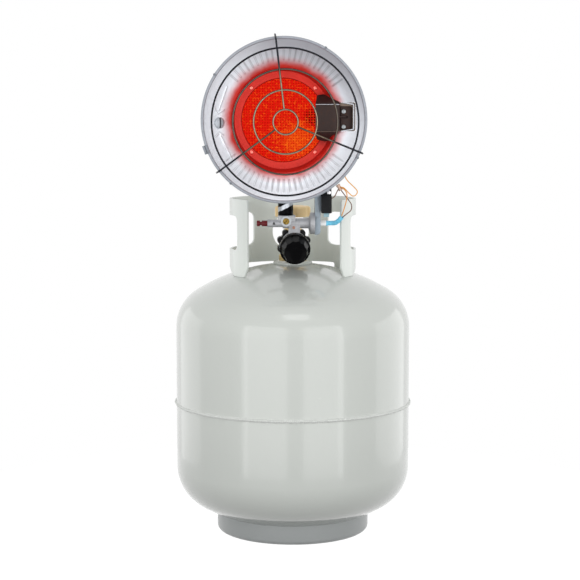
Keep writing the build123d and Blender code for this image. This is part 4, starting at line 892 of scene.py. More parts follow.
# ------------------------ making of pieces
def tidy_mesh(shape: Form | bpy.types.Mesh, name: str) -> bpy.types.Mesh:
    """A form's mesh in metres, with its doubles merged and its faces outwards.

    Args:
        shape: The form, or a mesh, which is given back as it is.
        name: The new mesh's name.

    Returns:
        The mesh.
    """
    if isinstance(shape, bpy.types.Mesh):
        return shape
    mesh = bpy.data.meshes.new(name)
    mesh.from_pydata([tuple(c * MM for c in point) for point in shape.points], [], shape.faces)
    work = bmesh.new()
    work.from_mesh(mesh)
    bmesh.ops.remove_doubles(work, verts=work.verts, dist=MERGE)
    bmesh.ops.dissolve_degenerate(work, edges=work.edges, dist=MERGE / 2)
    bmesh.ops.recalc_face_normals(work, faces=work.faces)
    work.to_mesh(mesh)
    work.free()
    return mesh


def join_flat(work: bmesh.types.BMesh, turn: float) -> None:
    """Merges doubles, and then faces that turn from each other by less than an angle.

    Args:
        work: The mesh in the making.
        turn: The angle.
    """
    bmesh.ops.remove_doubles(work, verts=work.verts, dist=MERGE)
    bmesh.ops.dissolve_limit(
        work,
        angle_limit=math.radians(turn),
        verts=work.verts,
        edges=work.edges,
        delimit={"NORMAL"},
    )


def mark(
    mesh: bpy.types.Mesh, name: str, amount: Callable[[bpy.types.MeshVertex], float]
) -> None:
    """Stores a number at each of a mesh's points, for its finish to read."""
    marks = mesh.attributes.new(name, "FLOAT", "POINT")
    for vertex, entry in zip(mesh.vertices, marks.data):
        entry.value = amount(vertex)


def add_object(name: str, data: bpy.types.ID) -> bpy.types.Object:
    """A new object in the scene."""
    made = bpy.data.objects.new(name, data)
    bpy.context.scene.collection.objects.link(made)
    return made


def taken_out(holder: bpy.types.Object) -> bpy.types.Mesh:
    """The plain mesh that an object comes to; the object itself is removed."""
    shapes = bpy.context.evaluated_depsgraph_get()
    mesh = bpy.data.meshes.new_from_object(holder.evaluated_get(shapes), depsgraph=shapes)
    bpy.data.objects.remove(holder)
    return mesh


def settle(
    name: str, shape: Form | bpy.types.Mesh, *modifiers: dict[str, object]
) -> bpy.types.Mesh:
    """A shape with modifiers worked into it.

    Args:
        name: The finished mesh's name.
        shape: The form or mesh to start from.
        modifiers: Each modifier's "type", and its settings.

    Returns:
        A plain mesh.
    """
    holder = add_object(f"{name}_work", tidy_mesh(shape, f"{name}_form"))
    for settings in modifiers:
        modifier = holder.modifiers.new("work", settings["type"])
        for key, setting in settings.items():
            if key != "type":
                setattr(modifier, key, setting)
    result = taken_out(holder)
    result.name = name
    return result


def install(
    name: str,
    shape: Form | bpy.types.Mesh,
    finish: Finish,
    node: str = "",
    sharp: float = 34,
) -> bpy.types.Object:
    """Puts a finished shape in the scene as a piece of the object.

    Args:
        name: The piece's name.
        shape: Its form or mesh, in place.
        finish: What it is made of.
        node: The CAD node that it stands for, where there is one.
        sharp: Edges that turn by more than this stay crisp.

    Returns:
        The piece.
    """
    mesh = tidy_mesh(shape, name)
    mesh.materials.clear()
    mesh.materials.append(finish.material())
    mesh.polygons.foreach_set("use_smooth", [True] * len(mesh.polygons))
    mesh.set_sharp_from_angle(angle=math.radians(sharp))
    piece = add_object(name, mesh)
    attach(piece, RIDERS.get(node, ROOT))
    if node:
        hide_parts(node)
    LOG.info("%s: %d faces, %s", name, len(mesh.polygons), finish.name)
    return piece


def bevel(width: float, steps: int = 2, angle: float = 38) -> dict[str, object]:
    """A Bevel modifier's settings, for edges that turn by more than an angle.

    Args:
        width: The bevel's width.
        steps: Its steps.
        angle: Edges that turn by less stay as they are.

    Returns:
        The settings, with the modifier's "type".
    """
    return {
        "type": "BEVEL",
        "width": width * MM,
        "segments": steps,
        "limit_method": "ANGLE",
        "angle_limit": math.radians(angle),
        "miter_outer": "MITER_ARC",
    }


def merged_copy(node: str) -> bpy.types.Mesh:
    """A copy of a CAD node's mesh with its loose triangles joined into whole faces.

    Args:
        node: The CAD node.

    Returns:
        A plain mesh, in metres.
    """
    plain = bpy.data.meshes.new(f"{node}_merged")
    work = bmesh.new()
    work.from_mesh(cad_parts[node].data)
    join_flat(work, 0.4)
    work.to_mesh(plain)
    work.free()
    return plain


def eased(node: str, finish: Finish, width: float) -> None:
    """Makes a CAD node with its edges eased, in its finish."""
    mesh = settle(f"{node}_eased", merged_copy(node), bevel(width))
    install(f"{node}_eased", mesh, finish, node, sharp=50)


def cast(node: str, finish: Finish, grid: float, rounds: int) -> None:
    """Makes a CAD node with every corner rounded, as a casting or moulding has them.

    Args:
        node: The CAD node.
        finish: Its finish.
        grid: The size of the grid that its shape is taken on.
        rounds: How many times it is smoothed.
    """
    remesh = {"type": "REMESH", "mode": "VOXEL", "voxel_size": grid * MM, "adaptivity": 0.0}
    smooth = {"type": "SMOOTH", "factor": 0.5, "iterations": rounds}
    mesh = settle(f"{node}_cast", merged_copy(node), remesh, smooth)
    install(f"{node}_cast", mesh, finish, node, sharp=180)


def dress_node(node: str, finish: Finish) -> None:
    """Gives a CAD node, whose own shape is right, its finish."""
    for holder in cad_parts[node].material_slots:
        holder.material = finish.material()
    LOG.info("%s: CAD shape, %s", node, finish.name)


# ------------------------ geometry nodes
class Growth(Graph):
    """A Geometry Nodes tree with named inputs, worked into a plain mesh."""

    def __init__(self, name: str, **sizes: float | Form) -> None:
        """Starts a tree whose inputs are its sizes and the forms that it repeats.

        Args:
            name: The tree's name.
            sizes: Each input's value, by its label.
        """
        super().__init__(bpy.data.node_groups.new(name, "GeometryNodeTree"))
        self.name = name
        self.patterns: list[bpy.types.Object] = []
        self.settings: dict[str, object] = {}
        kinds = {float: "NodeSocketFloat", int: "NodeSocketInt", Form: "NodeSocketObject"}
        sockets = self.tree.interface
        for label, size in sizes.items():
            made = sockets.new_socket(label, in_out="INPUT", socket_type=kinds[type(size)])
            given = self._pattern(label, size) if isinstance(size, Form) else size
            self.settings[made.identifier] = given
        sockets.new_socket("Mesh", in_out="OUTPUT", socket_type="NodeSocketGeometry")
        self.inlet = self.tree.nodes.new("NodeGroupInput")

    def _pattern(self, label: str, form: Form) -> bpy.types.Object:
        """An object, in millimetres, for the tree to repeat; the result removes it."""
        mesh = bpy.data.meshes.new(f"{self.name}_{label}")
        mesh.from_pydata(form.points, [], form.faces)
        self.patterns.append(add_object(mesh.name, mesh))
        return self.patterns[-1]

    def size(self, label: str) -> Value:
        """A named input of the tree."""
        return Value(self, self.inlet.outputs[label])

    def shape(self, label: str) -> Value:
        """The geometry of one of the forms that the tree was given."""
        return self.node("GeometryNodeObjectInfo", None, {"Object": self.size(label)}, "Geometry")

    def repeat(self, points: Value, label: str, **how: Value) -> Value:
        """A form repeated on points, by its label, with a Rotation or a Scale."""
        inputs = {"Points": points, "Instance": self.shape(label), **how}
        return self.node("GeometryNodeInstanceOnPoints", None, inputs)

    def result(self, shape: Value, finish: Finish, place: Matrix) -> bpy.types.Mesh:
        """Realizes the shape, gives it its material and takes it out as a plain mesh.

        Args:
            shape: The tree's last geometry.
            finish: What the mesh is made of.
            place: Where the mesh goes, as a matrix in millimetres.

        Returns:
            The mesh, in place.
        """
        real = self.node("GeometryNodeRealizeInstances", None, {0: shape})
        inputs = {0: real, "Material": finish.material()}
        dressed = self.node("GeometryNodeSetMaterial", None, inputs)
        outlet = self.tree.nodes.new("NodeGroupOutput")
        self.tree.links.new(dressed.socket, outlet.inputs[0])
        holder = add_object(self.name, bpy.data.meshes.new(self.name))
        modifier = holder.modifiers.new(self.name, "NODES")
        modifier.node_group = self.tree
        for identifier, setting in self.settings.items():
            modifier[identifier] = setting
        mesh = taken_out(holder)
        for pattern in self.patterns:
            bpy.data.objects.remove(pattern)
        mesh.transform(place)
        mesh.transform(Matrix.Scale(MM, 4))
        return mesh


def studs(
    name: str, head: Form, spots: Iterable[Point], finish: Finish, place: Matrix
) -> bpy.types.Mesh:
    """The same small fastener on each of several spots.

    Args:
        name: The mesh's name.
        head: One fastener, standing on the local XY plane.
        spots: Where each one stands, in the local frame.
        finish: What they are made of.
        place: The local frame.

    Returns:
        The mesh of all of them.
    """
    growth = Growth(name, Marks=Form(list(spots)), Fastener=head)
    return growth.result(growth.repeat(growth.shape("Marks"), "Fastener"), finish, place)


# ------------------------ studio
@dataclass(frozen=True)
class SoftBox:
    """A soft lamp that faces the object.

    Its bearing is from the camera's, positive to the right, its height is its middle's,
    its distance is from the cylinder's axis, and a brightness of 1 is white.
    """

    name: str
    bearing: float
    height: float
    size: Flat
    distance: float
    brightness: float
    highest_aim: float = 380

    def hang(self, camera_turn: float) -> None:
        """Makes the lamp, for a camera that is turned by an angle.

        Args:
            camera_turn: The camera's own turn, from which the bearing is measured.
        """
        lamp = bpy.data.lights.new(self.name, "AREA")
        lamp.shape = "RECTANGLE"
        lamp.size, lamp.size_y = self.size[0] * MM, self.size[1] * MM
        lamp.energy = self.brightness * math.pi * lamp.size * lamp.size_y
        bearing = math.radians(self.bearing + camera_turn)
        place = Vector((math.sin(bearing), -math.cos(bearing), 0)) * self.distance * MM
        holder = add_object(self.name, lamp)
        holder.location = place + Vector((0, 0, self.height * MM))
        aim = Vector((0, 0, min(self.height, self.highest_aim) * MM)) - holder.location
        holder.rotation_euler = aim.to_track_quat("-Z", "Y").to_euler()
        holder.visible_camera = False


@dataclass
class Studio:
    """The camera, the soft boxes, the white surroundings and the floor."""

    camera_place: Point = (-78.3, -2137.3, 549.09)
    camera_pitch: float = 6.087
    camera_turn: float = -2.0
    camera_lens: float = 100.34
    ambient: float = 0.64
    floor_radius: float = 560.0
    floor_grey: float = 0.3
    floor_white: float = 1.2
    floor_share: float = 0.86
    boxes: tuple[SoftBox, ...] = (
        SoftBox("left_front_box", -26, 380, (1900, 2300), 2500, 1.12),
        SoftBox("left_edge_strip", -46, 380, (260, 2300), 2440, 1.02),
        SoftBox("right_front_box", 29, 380, (1750, 2300), 2500, 1.12),
        SoftBox("right_edge_strip", 46, 380, (260, 2300), 2440, 1.02),
        SoftBox("left_rear_box", -120, 300, (1700, 1400), 2300, 0.6),
        SoftBox("right_rear_box", 112, 300, (2200, 1400), 2300, 0.8),
        SoftBox("top_box", 4, 2300, (900, 700), 1500, 2.0),
    )

    def place_camera(self) -> None:
        """Makes the scene's camera."""
        lens = bpy.data.cameras.new("camera")
        lens.lens = self.camera_lens
        lens.sensor_width = 36
        lens.clip_start = 0.02
        camera = add_object("camera", lens)
        camera.location = [c * MM for c in self.camera_place]
        pitch, turn = math.radians(90 - self.camera_pitch), math.radians(self.camera_turn)
        camera.rotation_euler = (pitch, 0, turn)
        bpy.context.scene.camera = camera

    def light(self) -> None:
        """Hangs the lamps and sets the surroundings and the view."""
        for soft_box in self.boxes:
            soft_box.hang(self.camera_turn)
        world = bpy.data.worlds.new("surroundings")
        bpy.context.scene.world = world
        shader = Shader(world)
        levels = {"Value": shader.seen(), "To Min": self.ambient}
        level = shader.node("ShaderNodeMapRange", None, levels)
        sky = shader.node("ShaderNodeBackground", None, {"Color": (1, 1, 1), "Strength": level})
        shader.surface(sky, "ShaderNodeOutputWorld")
        bpy.context.scene.view_settings.view_transform = "Standard"

    def lay_floor(self) -> None:
        """Lays the pale floor, which looks white and still takes a faint shadow."""
        edge = [(x * MM, y * MM, 0) for x, y in circle(self.floor_radius, 128)]
        mesh = bpy.data.meshes.new("floor")
        mesh.from_pydata(edge, [], [tuple(range(len(edge)))])
        shader = Shader(bpy.data.materials.new("pale_floor"))
        seen = shader.seen()
        matt = shader.node("ShaderNodeBsdfDiffuse", None, {"Color": (self.floor_grey,) * 3})
        glow = {"Color": (1, 1, 1), "Strength": self.floor_white}
        white = shader.node("ShaderNodeEmission", None, glow)
        layers = {0: seen * self.floor_share, 1: matt, 2: white}
        mesh.materials.append(shader.surface(shader.node("ShaderNodeMixShader", None, layers)))
        add_object("floor", mesh)


# ------------------------ the lead
@dataclass
class Lead:
    """The flame-failure circuit's wires, their sleeve, crimp and connector."""

    wire: float = 1.3
    sleeve_radius: float = 3.0
    crimp_radius: float = 2.9
    crimp_length: float = 8.4
    crimp_centre: Point = (57.0, -70.0, 460.2)
    crimp_along: Point = (-0.5, 0.0, 0.87)
    sleeve_route: tuple[Point, ...] = (
        (41.1, -54.0, 413.4), (48.3, -54.0, 413.6), (54.8, -60.8, 414.2),
        (60.8, -66.4, 422.4),
    )
    supply_route: tuple[Point, ...] = (
        (60.2, -65.8, 422.9), (62.4, -68.4, 429.6), (64.8, -71.0, 438.0),
        (67.4, -73.4, 450.0), (64.4, -74.2, 457.8), (57.8, -71.5, 461.6),
    )
    return_route: tuple[Point, ...] = (
        (61.4, -67.0, 421.6), (66.2, -70.2, 426.2), (72.6, -70.0, 430.6),
        (73.4, -69.4, 437.8), (69.2, -68.8, 444.0), (64.4, -68.6, 449.8),
        (58.4, -69.0, 458.0),
    )
    sensor_route: tuple[Point, ...] = (
        (47.2, -68.6, 446.0), (50.6, -68.6, 447.6), (53.2, -69.0, 452.6),
        (55.0, -69.6, 456.8), (57.6, -70.2, 459.8), (62.4, -70.9, 460.8),
        (68.2, -71.8, 454.0), (75.2, -72.6, 447.6), (81.6, -73.2, 454.8),
        (74.6, -74.0, 461.8), (65.0, -75.4, 470.6), (60.4, -77.2, 484.0),
        (61.4, -78.4, 500.0), (63.6, -77.6, 518.0), (64.8, -75.2, 535.0),
        (64.5, -73.0, 550.1), (64.5, -90.0, 550.1),
    )

    def curve(self, name: str, route: Sequence[Point], thickness: float) -> bpy.types.Object:
        """A smooth round wire along a route.

        Args:
            name: The piece's name.
            route: The points that guide it.
            thickness: Its diameter.

        Returns:
            The wire, as a curve.
        """
        data = bpy.data.curves.new(name, "CURVE")
        data.dimensions = "3D"
        data.bevel_depth = thickness / 2 * MM
        data.bevel_resolution = 4
        data.resolution_u = 16
        data.use_fill_caps = True
        spline = data.splines.new("NURBS")
        spline.points.add(len(route) - 1)
        for point, corner in zip(spline.points, route):
            point.co = (*[c * MM for c in corner], 1)
        spline.order_u = 3
        spline.use_endpoint_u = True
        return add_object(name, data)

    def line(self, route: Sequence[Point]) -> list[Vector]:
        """Points, in millimetres, along the smooth line of a route."""
        mesh = taken_out(self.curve("line", route, 0))
        return [vertex.co / MM for vertex in mesh.vertices]

    def length(self, route: Sequence[Point]) -> float:
        """How long the smooth line of a route is."""
        points = self.line(route)
        return sum((b - a).length for a, b in zip(points, points[1:]))

    def string(
        self,
        node: str,
        route: Sequence[Point],
        finish: Finish,
    ) -> None:
        """Args:
            node: The CAD node of the wire.
            route: Its points.
            finish: Its insulation.
        """
        piece = self.curve(f"{node}_strand", route, self.wire)
        piece.data.materials.append(finish.material())
        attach(piece, ROOT)
        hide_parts(node)
        length = self.length(route)
        LOG.info("%s: %.1f mm long", node, length)

    def sleeve(self) -> bpy.types.Object:
        """The soft shrink tube over the connector's end, where the wires leave it."""
        points = self.line(self.sleeve_route)
        sizes = []
        for i in range(len(points)):
            flare = smooth_step(0, 0.12, i / (len(points) - 1))
            ripple = 0.06 * math.sin(i * 0.9)
            sizes.append(self.sleeve_radius * (1.12 - 0.12 * flare + ripple) - 0.06)
        shell = tube([tuple(p) for p in points], sizes, 24)
        return install("blue_sleeve", shell, SLEEVE_BLUE, "lead_sleeve")

    def crimp(self) -> bpy.types.Object:
        """The crimped joint of the three wires, flattened across its middle."""
        half, radius = self.crimp_length / 2, self.crimp_radius
        side = ((0, 1), (0.9, 1), (1, 0.8), (0.78, 0.2))
        profile = [(radius * out, -half * up) for out, up in side]
        profile += [(radius * out, half * up) for out, up in reversed(side)]
        form = lathe(profile, 24).moved(frame_at(self.crimp_centre, (0, 1, 0), self.crimp_along))
        mesh = settle("wire_crimp", form, bevel(0.25))
        return install("wire_crimp", mesh, CRIMP_TINT, "lead_crimp")

    def build(self) -> None:
        """Makes the whole lead."""
        sleeve, crimp = self.sleeve(), self.crimp()
        self.string("supply_wire", self.supply_route, WIRE_ORANGE)
        self.string("return_wire", self.return_route, WIRE_BROWN)
        self.string("sensor_wire", self.sensor_route, WIRE_TAN)
        eased("lead_connector", NYLON, 0.3)


# ------------------------ the cylinder
@dataclass
class Cylinder:
    """The gas cylinder's two shells, their seam, the foot ring and the valve's boss."""

    radius: float = 155.0
    wall: float = 2.6
    knuckle: float = 56.5
    top_crown: float = 244.5
    crown_z: float = 357.57
    bottom_crown: float = 254.8
    bottom_z: float = 4.3
    seam_z: float = 172.6
    boss_radius: float = 22.5
    weld_width: float = 4.8
    weld_height: float = 2.2
    foot_radius: float = 101.0
    foot_wall: float = 3.0
    foot_lip: float = 11.0
    foot_top: float = 46.0
    foot_corner: float = 6.0
    foot_bend: float = 3.0
    ripples: int = 420
    segments: int = 256

    def head(self, crown: float, apex: float, way: int, inset: float, hole: float) -> list[Flat]:
        """Outline of one head, from the seam to the crown.

        Args:
            crown: The crown's radius.
            apex: The crown's height on the axis.
            way: 1 for the top head, -1 for the bottom one.
            inset: How far inside the outer surface the line runs.
            hole: The radius at which it stops.

        Returns:
            Its points, as radius and height.
        """
        centre = apex - way * crown
        corner = self.radius - self.knuckle
        rise = math.sqrt((crown - self.knuckle) ** 2 - corner**2)
        tangent = centre + way * rise
        angle = math.degrees(math.atan2(rise, corner))
        side = self.radius - inset
        outline = [(side, self.seam_z), (side, (self.seam_z + tangent) / 2)]
        outline += arc((corner, tangent), self.knuckle - inset, 0, way * angle, 26)
        last = math.degrees(math.acos(hole / (crown - inset)))
        outline += arc((0, centre), crown - inset, way * angle, way * last, 30)[1:]
        return outline

    def shells(self) -> None:
        """The two painted shells, each with its inner side."""
        neck = self.boss_radius - 0.6
        for name, crown, apex, way, hole in (
            ("upper_shell", self.top_crown, self.crown_z, 1, neck),
            ("lower_shell", self.bottom_crown, self.bottom_z, -1, 0.001),
        ):
            outer = self.head(crown, apex, way, 0, hole)
            inner = self.head(crown, apex, way, self.wall, hole)
            form = lathe(outer + inner[::-1], self.segments)
            install(name, form, TANK_PAINT, f"tank_{name}")

    def seam(self) -> None:
        """The weld: a low ridge with a run of overlapping ripples on it."""
        half, inside = self.weld_width / 2, self.radius - 0.8
        ridge = [(inside, self.seam_z + half * 1.2), (inside, self.seam_z - half * 1.2)]
        for t in (-1, -0.8, -0.5, 0, 0.5, 0.8, 1):
            swell = self.weld_height * 0.55 * math.cos(t * math.pi / 2)
            ridge.append((self.radius + swell, self.seam_z + half * t))
        install("seam_ridge", lathe(ridge, self.segments), WELD_PAINT, "seam_weld")
        growth = Growth(
            "weld_ripples",
            Radius=self.radius + self.weld_height * 0.28,
            Ripples=self.ripples,
            Width=half * 0.82,
            Drop=lathe([(0, 1), (0.55, 0.8), (0.95, 0.3), (1, 0), (0.9, -0.4), (0, -0.5)], 10),
        )
        inputs = {"Vertices": growth.size("Ripples"), "Radius": growth.size("Radius")}
        ring = growth.node("GeometryNodeMeshCircle", None, inputs)
        out = {"Vector": growth.node("GeometryNodeInputPosition")}
        turn = growth.node("FunctionNodeAlignRotationToVector", {"axis": "Z"}, out, "Rotation")
        limits = {2: 0.8, 3: 1.15, "Seed": SEED}
        wander = growth.node("FunctionNodeRandomValue", {"data_type": "FLOAT"}, limits, 1)
        size = growth.size("Width") * wander
        spread = growth.repeat(ring, "Drop", Rotation=turn, Scale=size)
        mesh = growth.result(spread, WELD_PAINT, Matrix.Translation((0, 0, self.seam_z)))
        install("seam_ripples", mesh, WELD_PAINT, sharp=80)

    def foot(self) -> None:
        """The foot ring, rolled in at the floor."""
        inner = self.foot_radius - self.foot_wall
        lip = self.foot_radius - self.foot_lip
        corner, bend = self.foot_corner, self.foot_bend
        profile = [(lip, 0.0)]
        profile += arc((self.foot_radius - corner, corner), corner, -90, 0, 8)
        profile += [(self.foot_radius, self.foot_top), (inner, self.foot_top)]
        profile += arc((inner - bend, self.foot_wall + bend), bend, 0, -90, 5)
        profile += [(lip, self.foot_wall)]
        mesh = settle("foot_band", lathe(profile, self.segments), bevel(0.4))
        install("foot_band", mesh, FOOT_PAINT, "foot_ring")

    def build(self) -> None:
        """Makes the cylinder."""
        self.shells()
        self.seam()
        self.foot()
        eased("valve_boss", TANK_PAINT, 0.8)


# ------------------------ the collar
@dataclass
class Collar:
    """The sheet-metal guard round the valve, with its hand-holds and sight hole."""

    radius: float = 83.65
    wall: float = 2.8
    top: float = 443.5
    foot: float = 343.2
    hem: float = 353.0
    opening: float = 121.8
    foot_cut: float = 4.2
    foot_rise: float = 13.0
    window: Box = (-39.3, 65.9, 377.0, 422.0)
    window_corner: float = 9.0
    arch: tuple[float, float, float] = (-31.0, 42.0, 24.0)
    sight_radius: float = 25.6
    sight_z: float = 394.0
    slice: float = 1.5

    def side(self, y: float, right: bool) -> float:
        """How far round the rim, in degrees from the front, a side cut at y stands."""
        turn = math.degrees(math.acos(-y / self.radius))
        return turn if right else 360 - turn

    def front(self, x: float) -> float:
        """How far round from the front the opening's edge at x stands."""
        return math.degrees(math.asin(x / self.radius))

    def back(self, x: float) -> float:
        """How far round from the front a cut in the back at x stands."""
        return 180 - math.degrees(math.asin(x / self.radius))

    def outline(self) -> list[Flat]:
        """The unrolled sheet's edge, as degrees from the front and height."""
        edge = self.front(self.opening / 2)
        low, high, slope = self.arch
        right = [
            (self.front(self.opening / 2 + self.foot_cut), self.foot),
            (self.side(low, True), self.foot),
            (self.side(low + slope, True), self.hem),
            (self.side(high - slope, True), self.hem),
            (self.side(high, True), self.foot),
            (self.back(self.opening / 2), self.foot),
            (self.back(self.opening / 2), self.hem),
        ]
        left = [(360 - turn, height) for turn, height in reversed(right)]
        top = [
            (360 - edge, self.foot + self.foot_rise),
            (360 - edge, self.top),
            (edge, self.top),
            (edge, self.foot + self.foot_rise),
        ]
        sizes = [0.5, 1, 4, 4, 1, 1, 4] + [4, 1, 1, 4, 4, 1, 0.5] + [1, 3, 3, 1]
        return self._round(right + left + top, sizes)

    def _round(self, corners: list[Flat], radii: list[float]) -> list[Flat]:
        """Rounds corners given in degrees, at the true size on the sheet."""
        stretch = math.radians(1) * self.radius
        flat = rounded([(turn * stretch, height) for turn, height in corners], radii)
        return [(x / stretch, height) for x, height in flat]

    def holes(self) -> list[list[Flat]]:
        """The two hand-holds and the sight hole, unrolled."""
        cut = rounded(box(*self.window), self.window_corner)
        windows = [[(self.side(y, right), z) for y, z in cut] for right in (True, False)]
        sight = circle(self.sight_radius, 56, (0, self.sight_z))
        return windows + [[(self.back(x), z) for x, z in sight]]

    def build(self) -> None:
        """Makes the collar: a flat blank, cut into narrow strips and rolled."""
        blank = slab(self.outline(), 0, self.wall, self.holes())
        mesh = bpy.data.meshes.new("collar_blank")
        mesh.from_pydata(blank.points, [], blank.faces)
        work = bmesh.new()
        work.from_mesh(mesh)
        for i in range(1, int(360 / self.slice)):
            cut = (self.slice * i, 0, 0)
            parts = work.verts[:] + work.edges[:] + work.faces[:]
            bmesh.ops.bisect_plane(work, geom=parts, plane_co=cut, plane_no=(1, 0, 0))
        for vertex in work.verts:
            turn, height, depth = vertex.co
            x, y = polar(self.radius - self.wall + depth, turn - 90)
            vertex.co = Vector((x, y, height)) * MM
        join_flat(work, 0.2)
        bmesh.ops.recalc_face_normals(work, faces=work.faces)
        work.to_mesh(mesh)
        work.free()
        rolled = settle("collar_band", mesh, bevel(0.7, 3, 50))
        install("collar_band", rolled, COLLAR_PAINT, "collar")


# ------------------------ the reflector
@dataclass
class Reflector:
    """The dish with its pressed ribs, the lighting louver and the sensor's tray."""

    axis: Flat = DISH_AXIS
    hole: float = 53.3
    seat: float = 78.0
    recess: float = 63.0
    recess_edge: float = 65.8
    recess_front: float = 95.0
    lip: float = DISH_LIP
    rim_front: float = RIM_FRONT
    bow: float = 1.4
    bead: float = RIM_BEAD
    wall: float = 0.9
    lit_from: float = 130.0
    rib_low: float = 73.5
    rib_high: float = 91.5
    rib_width: float = 0.95
    rib_height: float = 0.8
    rib_step: float = 5.0
    port: Flat = (-80.2, -3.6)
    port_radius: float = 7.2
    port_slit: float = 2.0
    port_rise: float = 1.9
    port_height: float = 105.1
    rivet_circle: float = 57.4
    rivet: tuple[Flat, ...] = (
        *((0, -3.6), (1.9, -3.45), (2.6, -3.05), (2.7, -2.7), (1.6, -2.68)),
        *((1.6, -1.5), (2.7, 0), (2.6, 0.35), (1.9, 0.75), (0, 0.9)),
    )
    tray: Box = (55.4, 74.6, 532.2, 568.0)
    tray_floor: float = 98.6
    profile_step: float = 1.05
    segments: int = 560
    marks: tuple[tuple[Flat, ...], ...] = (
        ((-81.8, 11.9), (-71.2, 42.2)),
        ((-87.2, 15.6), (-83.7, 7.8), (-75.1, 13.1)),
        ((-79.7, -18.5), (-65.3, -49.3)),
        ((-85.5, -20.4), (-81.0, -15.3), (-76.2, -19.2)),
    )

    @property
    def place(self) -> Matrix:
        """The dish's frame: Z forwards along the burner's axis."""
        return facing_front(*self.axis)

    def profile(self) -> list[Flat]:
        """The sheet's rear line, from the burner's edge to the rim, in fine steps."""
        middle = (self.recess_edge + self.lip) / 2
        corners = [
            (self.hole, self.seat),
            (self.recess, self.seat),
            (self.recess_edge, self.recess_front),
            (middle, (self.recess_front + self.rim_front) / 2 - self.bow),
            (self.lip, self.rim_front),
        ]
        line = rounded(corners, [0, 3.5, 3.0, 60, 0], 8)
        fine = [line[0]]
        for before, after in zip(line, line[1:]):
            parts = max(1, round(math.dist(before, after) / self.profile_step))
            fine += straight(before, after, parts)[1:]
        return fine

    def pressing(self, radius: float, angle: float) -> float:
        """How far the pressed ribs and arrows stand forward at a point.

        Args:
            radius: The point's distance from the dish's axis.
            angle: Its angle round the axis.

        Returns:
            The height of the pressing there.
        """
        band = smooth_step(self.rib_low, self.rib_low + 2.5, radius)
        band *= smooth_step(self.rib_high, self.rib_high - 2.5, radius)
        height = 0.0
        if 34 < angle < 142 or 212 < angle < 326:
            off = (angle + self.rib_step / 2) % self.rib_step - self.rib_step / 2
            away = abs(math.radians(off)) * radius
            height += self.rib_height * band * smooth_step(self.rib_width * 1.5, 0.2, away)
        if 140 < angle < 220:
            spot = polar(radius, angle)
            for mark in self.marks:
                away = min(self._distance(spot, a, b) for a, b in zip(mark, mark[1:]))
                height += 0.6 * smooth_step(1.5, 0.2, away)
        return height

    def crease(self, radius: float, angle: float) -> float:
        """How steep the pressing is at a point, up to 1.

        Args:
            radius: The point's distance from the dish's axis.
            angle: Its angle round the axis.

        Returns:
            0 on flat sheet, 1 on the steepest flank.
        """
        step = 0.35
        turn = math.degrees(step / radius)
        out = self.pressing(radius + step, angle) - self.pressing(radius - step, angle)
        round_it = self.pressing(radius, angle + turn) - self.pressing(radius, angle - turn)
        return min(1.0, math.hypot(out, round_it) / step * 0.9)

    def _distance(self, point: Flat, start: Flat, end: Flat) -> float:
        """How far a point is from the line between two others."""
        a, b, p = Vector(start), Vector(end), Vector(point)
        share = min(max((p - a).dot(b - a) / (b - a).length_squared, 0), 1)
        return (p - a - (b - a) * share).length

    def dish(self) -> None:
        """The pressed dish, with its opening for the tray and its rolled rim."""
        line = self.profile()
        left, right, low, high = self.tray
        corner_a = (left - self.axis[0], low - self.axis[1])
        corner_b = (right - self.axis[0], high - self.axis[1])
        rows_front, rows_back = [], []
        for i, (radius, height) in enumerate(line):
            ahead = Vector(line[min(i + 1, len(line) - 1)]) - Vector(line[max(i - 1, 0)])
            across = Vector((-ahead.y, ahead.x)).normalized() * self.wall
            front, back = [], []
            for step in range(self.segments):
                angle = 360 * step / self.segments
                lift = self.pressing(radius, angle)
                x, y = self._snap(polar(radius + across.x, angle), corner_a, corner_b)
                front.append((x, y, height + across.y + lift))
                x, y = self._snap(polar(radius, angle), corner_a, corner_b)
                back.append((x, y, height + lift))
            rows_front.append(front)
            rows_back.append(back)
        form = Form().net(rows_front + rows_back[::-1], close=True)
        form.faces = [f for f in form.faces if not self._inside(form, f, corner_a, corner_b)]
        mesh = tidy_mesh(form.moved(self.place), "dish_sheet")
        ahead = Vector((self.axis[0], -self.lit_from, self.axis[1])) * MM

        def creased(vertex: bpy.types.MeshVertex) -> float:
            """How steep the pressing is at a point of the sheet."""
            x, y = vertex.co.x / MM - self.axis[0], vertex.co.z / MM - self.axis[1]
            return self.crease(math.hypot(x, y), math.degrees(math.atan2(y, x)) % 360)

        # The steepness is stored for the painted shade in the creases.
        mark(mesh, "creased", creased)
        mark(mesh, "lit", lambda vertex: float(vertex.normal.dot(ahead - vertex.co) > 0))
        install("dish_sheet", mesh, BRIGHT_SHEET, "reflector_dish", sharp=60)
        rim = lathe(circle(self.bead, 16, (self.lip, self.rim_front)), 320)
        install("rolled_rim", rim.moved(self.place), RIM_METAL)

    def _snap(self, point: Flat, low: Flat, high: Flat) -> Flat:
        """Moves a point that is close to the tray's opening onto its edge.

        Args:
            point: The point.
            low: The opening's lower left corner.
            high: Its upper right corner.

        Returns:
            The point, moved or as it was.
        """
        x, y = point
        near = 0.45
        if low[0] - near < x < high[0] + near and low[1] - near < y < high[1] + near:
            for edge in (low[0], high[0]):
                x = edge if abs(x - edge) < near else x
            for edge in (low[1], high[1]):
                y = edge if abs(y - edge) < near else y
        return x, y

    def _inside(self, form: Form, face: tuple[int, ...], low: Flat, high: Flat) -> bool:
        """Whether a face lies in the tray's opening."""
        x = sum(form.points[corner][0] for corner in face) / len(face)
        y = sum(form.points[corner][1] for corner in face) / len(face)
        return low[0] < x < high[0] and low[1] < y < high[1]

